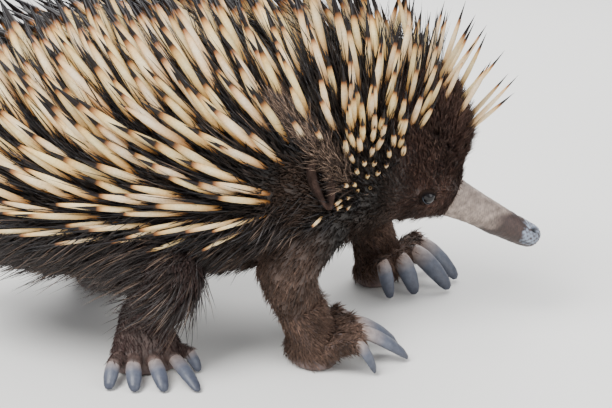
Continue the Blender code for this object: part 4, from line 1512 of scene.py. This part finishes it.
@dataclass
class Foot:
    """A foot: palm, toes and pads fused to one skin, and its five horn claws."""

    limb: Limb
    palm_across: float = 18.5
    palm_along: float = 13.0
    palm_rise: float = 14.0
    claw_roll: float = 34.0
    voxel: float = 0.8
    rounds: int = 4

    def vectors(self, degrees: float) -> tuple[Array, Array]:
        """The level direction of a foot or digit, and the level direction across it.

        Args:
            degrees: the turn from the x axis.

        Returns:
            The two directions.
        """
        turn = math.radians(degrees)
        along = np.array((math.cos(turn), math.sin(turn), 0.0))
        return along, np.array((-along[1], along[0], 0.0)) * self.limb.side

    def palm(self) -> Shell:
        """Rings from the wrist down to the flat sole, each an oval of the palm's shape.

        Returns:
            Its shell.
        """
        limb = self.limb
        wrist, down, outward, third, radius = limb.frame(np.array([1.85, 2.0]))
        turn = full_turn(64)[:, None]
        ways = np.cos(turn) * outward[1] + np.sin(turn) * third[1]
        along, across = self.vectors(limb.heading)
        middle = np.array((*limb.palm, 0.0))
        level = unit(ways * (1, 1, 0))
        rings = [wrist[0] + ways * (radius[0] - 1.5), wrist[1] + ways * (radius[1] - 0.6)]
        oval = np.hypot(level @ along / self.palm_along, level @ across / self.palm_across)
        for height, share in PALM_RINGS:
            rings.append(middle + np.array((0, 0, height * self.palm_rise))
                         + level * (share / oval)[:, None])
        table = np.array(rings).reshape(len(rings), -1)
        dense = smooth(table, np.linspace(0, len(rings) - 1, 40)).reshape(40, 64, 3)
        dense[..., 2] = dense[..., 2].clip(0.25, None)
        return tube(dense)

    def toe(self, digit: Digit) -> tuple[Shell, Array, Array, Array]:
        """A toe from the palm to the claw's root: ovals along a raised line with a knuckle.

        Args:
            digit: the toe.

        Returns:
            Its shell, the root of the claw, and the directions ahead and aside.
        """
        limb = self.limb
        along, across = self.vectors(limb.heading)
        ahead, aside = self.vectors(limb.heading + limb.side * digit.turn)
        middle, up = np.array((*limb.palm, 0.0)), np.array((0, 0, 1.0))
        root = middle + across * digit.offset * 0.72 + up * (self.palm_rise - 5)
        end = middle + across * digit.offset + ahead * digit.toe + up * limb.toe_height
        t = np.linspace(-0.1, 1, 26)[:, None]
        line = root + (end - root) * t + up * 1.5 * np.sin(math.pi * t.clip(0, 1))
        run = unit(np.gradient(line, axis=0))
        side = unit(aside - run * (run @ aside)[:, None])
        other = np.cross(run, side)
        girth = digit.half_width * (1.0 + 0.12 * np.sin(t * 2.6 * math.pi) ** 2 + 0.06 * t)
        girth[-2:] *= np.array([[0.94], [0.8]])
        turn = full_turn(32)[None, :, None]
        round_it = side[:, None] * np.cos(turn) + other[:, None] * np.sin(turn)
        ring = line[:, None] + girth[:, None] * round_it
        return tube(ring), end, ahead, aside

    def claw(self, digit: Digit, end: Array, ahead: Array, aside: Array,
             name: str) -> bpy.types.Object:
        """A claw: flattened ovals, ridged on top, along a line that curves down to the floor.

        Args:
            digit: the toe.
            end: the end of the toe.
            ahead: the level direction ahead.
            aside: the level direction across it.
            name: the object's name.

        Returns:
            The claw's object.
        """
        drop = end[2] - 0.9
        run = math.sqrt(max(digit.claw**2 - drop**2, (0.35 * digit.claw) ** 2))
        start = end - ahead * 2.2 + np.array((0, 0, 0.4))
        t = np.linspace(0, 1, 34)[:, None]
        line = start + ahead * (run + 2.2) * t - np.array((0, 0, 1.0)) * drop * t**1.35
        way = unit(np.gradient(line, axis=0))
        side = unit(aside - way * (way @ aside)[:, None])
        top = np.cross(way, side)
        top = top * np.sign(top[:, 2:3])
        roll = math.radians(self.claw_roll if self.limb.side > 0 else 0.0)
        side, top = (side * math.cos(roll) + top * math.sin(roll),
                     top * math.cos(roll) - side * math.sin(roll))
        wide = 1.04 * digit.half_width * np.interp(t, CLAW_STOPS, CLAW_WIDTHS)
        thick = digit.half_width * np.interp(t, CLAW_STOPS, CLAW_DEPTHS)
        turn = full_turn(28)[None, :, None]
        height = np.where(np.sin(turn) > 0, 1.0, 0.45) * np.sin(turn)
        ring = (line[:, None] + side[:, None] * np.cos(turn) * wide[:, None]
                + top[:, None] * height * thick[:, None])
        ring[..., 2] = ring[..., 2].clip(0.35, None)
        if float(np.dot(np.cross(side[0], top[0]), way[0])) < 0:
            ring = ring[:, ::-1]
        shell = tube(ring)
        shell.bands = np.concatenate([np.repeat(t[:, 0], 28), [0, 1]])
        return shell.build(name)

    def build(self) -> tuple[bpy.types.Object, list[bpy.types.Object]]:
        """The foot's skin and its claws.

        Returns:
            The skin's object and the claws' objects.
        """
        shells, claws = [self.palm()], []
        for number, digit in enumerate(self.limb.digits, 1):
            shell, end, ahead, aside = self.toe(digit)
            shells.append(shell)
            claws.append(self.claw(digit, end, ahead, aside, f"{self.limb.foot}_horn_{number}"))
        made = fuse(shells, f"{self.limb.foot}_skin", self.voxel, self.rounds)
        self.shade(made.data)
        return made, claws

    def fur(self, skin: bpy.types.Object, draw: np.random.Generator) -> bpy.types.Object:
        """Short hair over the top of the foot that thins out towards the toes.

        Args:
            skin: the foot's own skin.
            draw: the seeded source of chance.

        Returns:
            The tufts as one object.
        """
        fore = self.limb.foot.startswith("fore")
        points, normals = scatter(*mesh_arrays(skin.data), 9000 if fore else 5000, draw)
        number = LIMBS.index(self.limb) + 1
        place, angle, _ = self.limb.locate(points)
        along, _ = self.vectors(self.limb.heading)
        ahead = (points - np.array((*self.limb.palm, 0.0))) @ along
        reach = max(digit.toe for digit in self.limb.digits)
        want = ease(points[:, 2], 3, 10) * (1 - ease(ahead, reach * (0.75 if fore else 0.1), reach))
        want = want * (0.35 + 0.65 * ease(normals[:, 2], -0.4, 0.3))
        spots = Spots(points, normals, np.full(len(points), number), place, angle)
        spots = spots.only(draw.random(len(points)) < want)
        count = len(spots)
        lie = along * 0.8 + np.array((0, 0, -0.7)) + draw.normal(0, 0.2, (count, 3))
        aims = strand_aims(lie, spots.normals, draw.uniform(12, 34, count))
        base = markings(spots)
        tips = base * draw.lognormal(0, 0.3, count)[:, None] * 1.7
        length = draw.uniform(4.5, 8.0, count) * (1.0 if fore else 0.7)
        made = Strands(spots, aims, -spots.normals * 0.14, length, draw.uniform(0.26, 0.42, count),
                       SHORT_HAIR_CUT, base * 0.8, tips)
        return made.build(f"{self.limb.foot}_fur", 1)[0]

    def shade(self, mesh: bpy.types.Mesh) -> None:
        """Pinkish grey-brown skin, paler on the pads, with pebbled scales of the feet.

        Args:
            mesh: the mesh.
        """
        points, _ = mesh_arrays(mesh)
        low = (1 - ease(points[:, 2], 1, 8))[:, None]
        colour = np.array((0.085, 0.055, 0.046)) * (1 - low) + np.array((0.17, 0.12, 0.11)) * low
        colour = colour * (1 + 0.2 * waves(points, 7, 51) + 0.12 * waves(points, 2.6, 52))[:, None]
        paint(mesh, colour.clip(0.01, 1))


def on_face(x: float, angle: float, side: int) -> tuple[Array, Array, Array]:
    """A point of one side of the body, and the forward and outward directions there.

    Args:
        x: the place along the body.
        angle: degrees from the back.
        side: 1 for the left side, -1 for the right.

    Returns:
        The point, the forward direction and the outward direction.
    """
    place, turned = BODY.place_at(np.array([x])), np.array([angle * -side])
    return (BODY.point(place, turned)[0], BODY.along(place, turned)[0],
            BODY.normal(place, turned)[0])


@dataclass
class Eye:
    """An eyeball with its clear bulge, and the rims of its lids."""

    side: int
    x: float = 70.0
    angle: float = 108.0
    radius: float = 4.5
    sunk: float = 2.0
    lid_sides: int = 96

    def axes(self) -> tuple[Array, Array]:
        """The point of the face over the eye, and the front, cross and outward directions."""
        root, along, normal = on_face(self.x, self.angle, self.side)
        return root, np.array([along, np.cross(normal, along), normal])

    def ball(self) -> bpy.types.Object:
        """The eyeball: a half circle turned about its axis, with a low bulge over its middle.

        Returns:
            The eyeball's object.
        """
        root, axes = self.axes()
        tilt, turn = np.linspace(0.02, math.pi - 0.02, 40)[::-1, None], full_turn(56)[None, :]
        local = np.stack([np.sin(tilt) * np.cos(turn), np.sin(tilt) * np.sin(turn),
                          np.cos(tilt) + 0 * turn], axis=-1)
        shell = tube(root - axes[2] * self.sunk + (local * self.radius) @ axes)
        out = (shell.points - root + axes[2] * self.sunk) @ axes[2] / self.radius
        shell.points = shell.points + axes[2] * (0.35 * ease(out, 0.72, 1.0))[:, None]
        return shell.build(f"eye_{LETTER[self.side]}_ball")

    def lids(self) -> bpy.types.Object:
        """The lids: an almond rim on the ball that rolls outwards into the face.

        For a turn u about the eye and a share v outwards, the radius grows from the almond
        opening to the outer edge, and the height rises over the rim and sinks under the skin.

        Returns:
            The lids' object.
        """
        root, axes = self.axes()
        u = full_turn(self.lid_sides)[None, :]
        v = np.linspace(0, 1, 26)[:, None]
        opening_x, opening_y = 4.5 * np.cos(u), 3.2 * np.sin(u) * (0.78 + 0.22 * np.abs(np.sin(u)))
        outer_x, outer_y = 6.0 * np.cos(u), 4.7 * np.sin(u)
        across = v**1.15
        x = opening_x + (outer_x - opening_x) * across
        y = opening_y + (outer_y - opening_y) * across
        on_ball = np.sqrt(((self.radius + 0.25) ** 2 - x**2 - y**2).clip(0.0, None)) - self.sunk
        folds = 0.2 * np.sin(v * 21) * np.exp(-v * 2.2)
        skin = 0.2 - 2.4 * v**1.6 + folds
        height = 0.3 * np.logaddexp(on_ball / 0.3, skin / 0.3)
        height = height + 0.3 * np.exp(-((v - 0.12) / 0.09) ** 2)
        under = np.stack([opening_x * 0.9, opening_y * 0.9, on_ball[:1] - 1.4], axis=-1)
        local = np.concatenate([under.reshape(1, -1, 3), np.stack([x, y, height], axis=-1)])
        edge = local[-1:] * (0.9, 0.9, 1) - (0, 0, 2.5)
        points = root + np.concatenate([local, edge]) @ axes
        shell = tube(points[:, ::-1])
        # Painted highlight: a pale blue wash along the lower lid's rim, a painted reflection of the
        # light on the wet eye.
        rim = np.exp(-((v - 0.12) / 0.07) ** 2) * np.ones_like(u)
        lower = ease(-np.sin(u) * -self.side, 0.1, 0.8) * np.ones_like(v)
        dark, grey = np.array((0.008, 0.005, 0.005)), np.array((0.024, 0.014, 0.010))
        blue = np.array((0.20, 0.24, 0.30))
        tone = dark + (grey - dark) * ease(v, 0.2, 0.8)[..., None] * np.ones_like(u)[..., None]
        tone = tone + (blue - tone) * (rim * lower)[..., None] * 0.8
        # Painted shade: the ring tucked under the lid's edge onto the ball is darkened to 0.4 of the
        # rim's colour.
        shade = np.concatenate([tone[:1] * 0.4, tone, tone[-1:]])[:, ::-1].reshape(-1, 3)
        shell.shades = with_ends(shade)
        shell.tris = shell.tris[self.lid_sides:]
        return shell.build(f"lids_{LETTER[self.side]}")


@dataclass
class Ear:
    """The ear: a leaning fold of dark skin round a slit, with stiff pale hairs on its ridge."""

    side: int
    x: float = 8.5
    angle: float = 92.0
    tilt: float = 14.0
    sides: int = 90
    hair_count: int = 2300

    def axes(self) -> tuple[Array, Array]:
        """The root, and the front, upper and outward directions, leaned back by the tilt.

        Returns:
            The root and the three directions as rows.
        """
        root, along, normal = on_face(self.x, self.angle, self.side)
        upward = np.cross(normal, along) * -self.side
        turn = math.radians(self.tilt)
        front = along * math.cos(turn) + upward * math.sin(turn)
        upper = upward * math.cos(turn) - along * math.sin(turn)
        return root, np.array([front, upper, normal])

    def cup(self) -> bpy.types.Object:
        """A slit cup: an oval wall, high in front and low behind, round a narrow deep slit.

        For a turn u about the slit and a share v from the outer foot of the wall over its
        rim and down inside, the oval shrinks and the height rises and falls, with folds
        that run along the rim.

        Returns:
            The cup's object.
        """
        root, axes = self.axes()
        u = full_turn(self.sides)[None, :]
        v = np.linspace(0, 1, 34)[:, None]
        out_x, out_y, lift = (np.interp(v, (0, 0.4, 0.52, 0.7, 1.0), sizes) for sizes in (
            (6.0, 5.0, 3.6, 1.9, 0.6), (16.0, 15.0, 13.6, 11.4, 8.0), (-3.0, 3.6, 4.0, 0.0, -4.5)))
        front = 0.62 * np.cos(u - 0.2) + 0.42
        ruffle = 0.35 * np.sin(7 * u + 9 * v) * np.exp(-((v - 0.35) / 0.25) ** 2)
        x = out_x * np.cos(u) + 1.3 * np.sin(2 * u) * (1 - v)
        height = np.where(lift > 0, lift * front, lift) + ruffle
        shell = tube((root + np.stack([x, out_y * np.sin(u), height], axis=-1) @ axes)[:, ::-1])
        # Painted shade: the wall darkens to near black down inside the slit. The wall is also darker
        # towards its outer foot.
        rim, deep = np.array((0.05, 0.03, 0.024)), np.array((0.007, 0.004, 0.004))
        inside = ease(v, 0.5, 0.8)[..., None] * np.ones((1, self.sides, 1))
        tone = rim * (0.55 + 0.45 * ease(v, 0.1, 0.45))[..., None] * (1 - inside) + deep * inside
        shell.shades = with_ends(tone[:, ::-1].reshape(-1, 3))
        return shell.build(f"ear_cup_{LETTER[self.side]}")

    def hairs(self, draw: np.random.Generator) -> bpy.types.Object:
        """Stiff hairs along the ridge of skin that runs down over the ear, swept back.

        Args:
            draw: the seeded source of chance.

        Returns:
            The hairs' object.
        """
        count = self.hair_count
        run = draw.random(count)
        x = -14 + 36 * run + draw.normal(0, 1.6, count)
        angle = (57 + 36 * run + draw.normal(0, 2.4, count)) * -self.side
        place = BODY.place_at(x)
        points, normals = BODY.point(place, angle, 0.5), BODY.normal(place, angle)
        spots = Spots(points, normals, np.zeros(count, int), place, angle)
        lie = body_lie(place, angle) + np.array((0.0, 0.0, -0.15)) + draw.normal(0, 0.22, (count, 3))
        aims = strand_aims(lie, normals, draw.uniform(8, 34, count))
        pale = (draw.random(count) < 0.4)[:, None]
        base = np.array((0.035, 0.022, 0.016)) * draw.lognormal(0, 0.3, count)[:, None]
        light = np.array((0.30, 0.20, 0.14)) * draw.uniform(0.5, 1.1, count)[:, None]
        tips = np.where(pale, light, base)
        made = Strands(spots, aims, draw.normal(0, 0.08, (count, 3)), draw.uniform(9, 20, count),
                       draw.uniform(0.22, 0.4, count), SHORT_HAIR_CUT, base, tips)
        return made.build(f"ear_hair_{LETTER[self.side]}", 1)[0]


@dataclass
class Studio:
    """The pale floor, the soft lights and the camera at the photograph's viewing angle."""

    turn: float = -0.25
    height: float = 18.43
    distance: float = 816.8
    target: tuple = (0.05, 0.0, 71.1)
    lens: float = 87.35
    floor_size: float = 3.0
    lights: tuple = (("key", (-0.6, -0.7, 1.4), 46.0, 0.9), ("fill", (1.0, -0.8, 0.7), 10.0, 1.0),
                     ("rim", (0.3, 1.0, 1.0), 20.0, 1.0))

    def camera(self) -> None:
        """A camera that looks at the target from its turn, height and distance."""
        data = bpy.data.cameras.new("camera")
        data.lens, data.sensor_width, data.clip_start = self.lens, 36.0, 0.01
        made = add_object("camera", data)
        turn, height = math.radians(self.turn), math.radians(self.height)
        back = np.array((math.sin(turn) * math.cos(height), -math.cos(turn) * math.cos(height),
                         math.sin(height)))
        made.location = (np.array(self.target) + MARK + back * self.distance) * MM
        made.rotation_euler = (math.pi / 2 - height, 0.0, turn)
        bpy.context.scene.camera = made

    def light(self, name: str, place: tuple, power: float, size: float) -> None:
        """A large soft light that faces the model.

        Args:
            name: the object's name.
            place: where it stands.
            power: its power in watts.
            size: its edge in metres.
        """
        data = bpy.data.lights.new(name, "AREA")
        data.energy, data.size = power, size
        made = add_object(name, data)
        made.location = place
        way = np.array((0.0, 0.0, 0.1)) - np.array(place)
        flat = math.hypot(way[0], way[1])
        made.rotation_euler = (math.pi / 2 - math.atan2(-way[2], flat), 0.0,
                               math.atan2(-way[0], way[1]))

    def build(self) -> None:
        """The floor, the lights, the sky and the camera."""
        mesh, size = bpy.data.meshes.new("floor"), self.floor_size
        mesh.from_pydata([(-size, -size, 0), (size, -size, 0), (size, size, 0), (-size, size, 0)], [],
                         [(0, 1, 2, 3)])
        floor = add_object("floor", mesh)
        nodes = Nodes("floor")
        nodes.shader.inputs["Base Color"].default_value = (0.78, 0.77, 0.74, 1)
        nodes.shader.inputs["Roughness"].default_value = 0.9
        mesh.materials.append(nodes.material)
        for light in self.lights:
            self.light(*light)
        world = bpy.data.worlds.new("sky")
        bpy.context.scene.world = world
        world.use_nodes = True
        shade = world.node_tree.nodes["Background"]
        shade.inputs["Color"].default_value = (0.93, 0.95, 1.0, 1)
        shade.inputs["Strength"].default_value = 0.8
        self.camera()


class Echidna:
    """The whole animal, built in order from its skin to its spines."""

    def __init__(self) -> None:
        """Makes the finishes that the pieces share."""
        self.draw = np.random.default_rng(SEED)
        self.skin_look = SkinFinish().material()
        self.lid_look = SkinFinish("lids and ear", 0.85, 1200.0, 0.0003, 0.12).material()
        self.beak_look = SkinFinish("beak skin", 0.5, 1500.0, 0.00035).material()
        self.fur_look = FurFinish().material()
        self.bristle_look = FurFinish("bristle", 0.36, 0.3, 0.4).material()
        self.spine_look = SpineFinish().material()
        self.claw_look = ClawFinish().material()
        self.eye_look = EyeFinish().material()

    def head(self) -> None:
        """The beak, the eyes with their lids, and the ears."""
        beak = Beak().build()
        dress(beak, self.beak_look)
        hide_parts("beak")
        for side in (-1, 1):
            name, eye = LETTER[side], Eye(side)
            globe = eye.ball()
            dress(globe, self.eye_look)
            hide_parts(f"eye_{name}")
            dress(eye.lids(), self.lid_look)
            ear = Ear(side)
            cup = ear.cup()
            dress(cup, self.lid_look)
            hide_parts(f"ear_{name}")
            dress(ear.hairs(self.draw), self.fur_look)

    def feet(self) -> None:
        """The four feet and their claws."""
        for limb in LIMBS:
            maker = Foot(limb)
            foot, claws = maker.build()
            dress(foot, self.skin_look)
            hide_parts(limb.foot)
            dress(maker.fur(foot, self.draw), self.fur_look)
            for number, claw in enumerate(claws, 1):
                dress(claw, self.claw_look)
                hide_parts(f"{limb.foot}_claw_{number}")

    def coat(self) -> None:
        """The skin, the fur and the spines."""
        skin = Skin()
        dress(skin.object, self.skin_look)
        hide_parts("torso", "neck", "head", "tail", *[limb.leg for limb in LIMBS])
        for piece in FurCoat().build(skin, self.draw):
            dress(piece, self.fur_look)
        spines = SpineCoat()
        for piece in spines.build(self.draw) + spines.tail(self.draw):
            dress(piece, self.spine_look)
        for piece in spines.bristles(skin, self.draw) + spines.skirt(skin, self.draw):
            dress(piece, self.bristle_look)


def main() -> None:
    """Builds the studio and the animal."""
    logging.basicConfig(level=logging.INFO, format="%(message)s")
    Studio().build()
    echidna = Echidna()
    echidna.head()
    echidna.feet()
    echidna.coat()


if __name__ == "__main__":
    main()
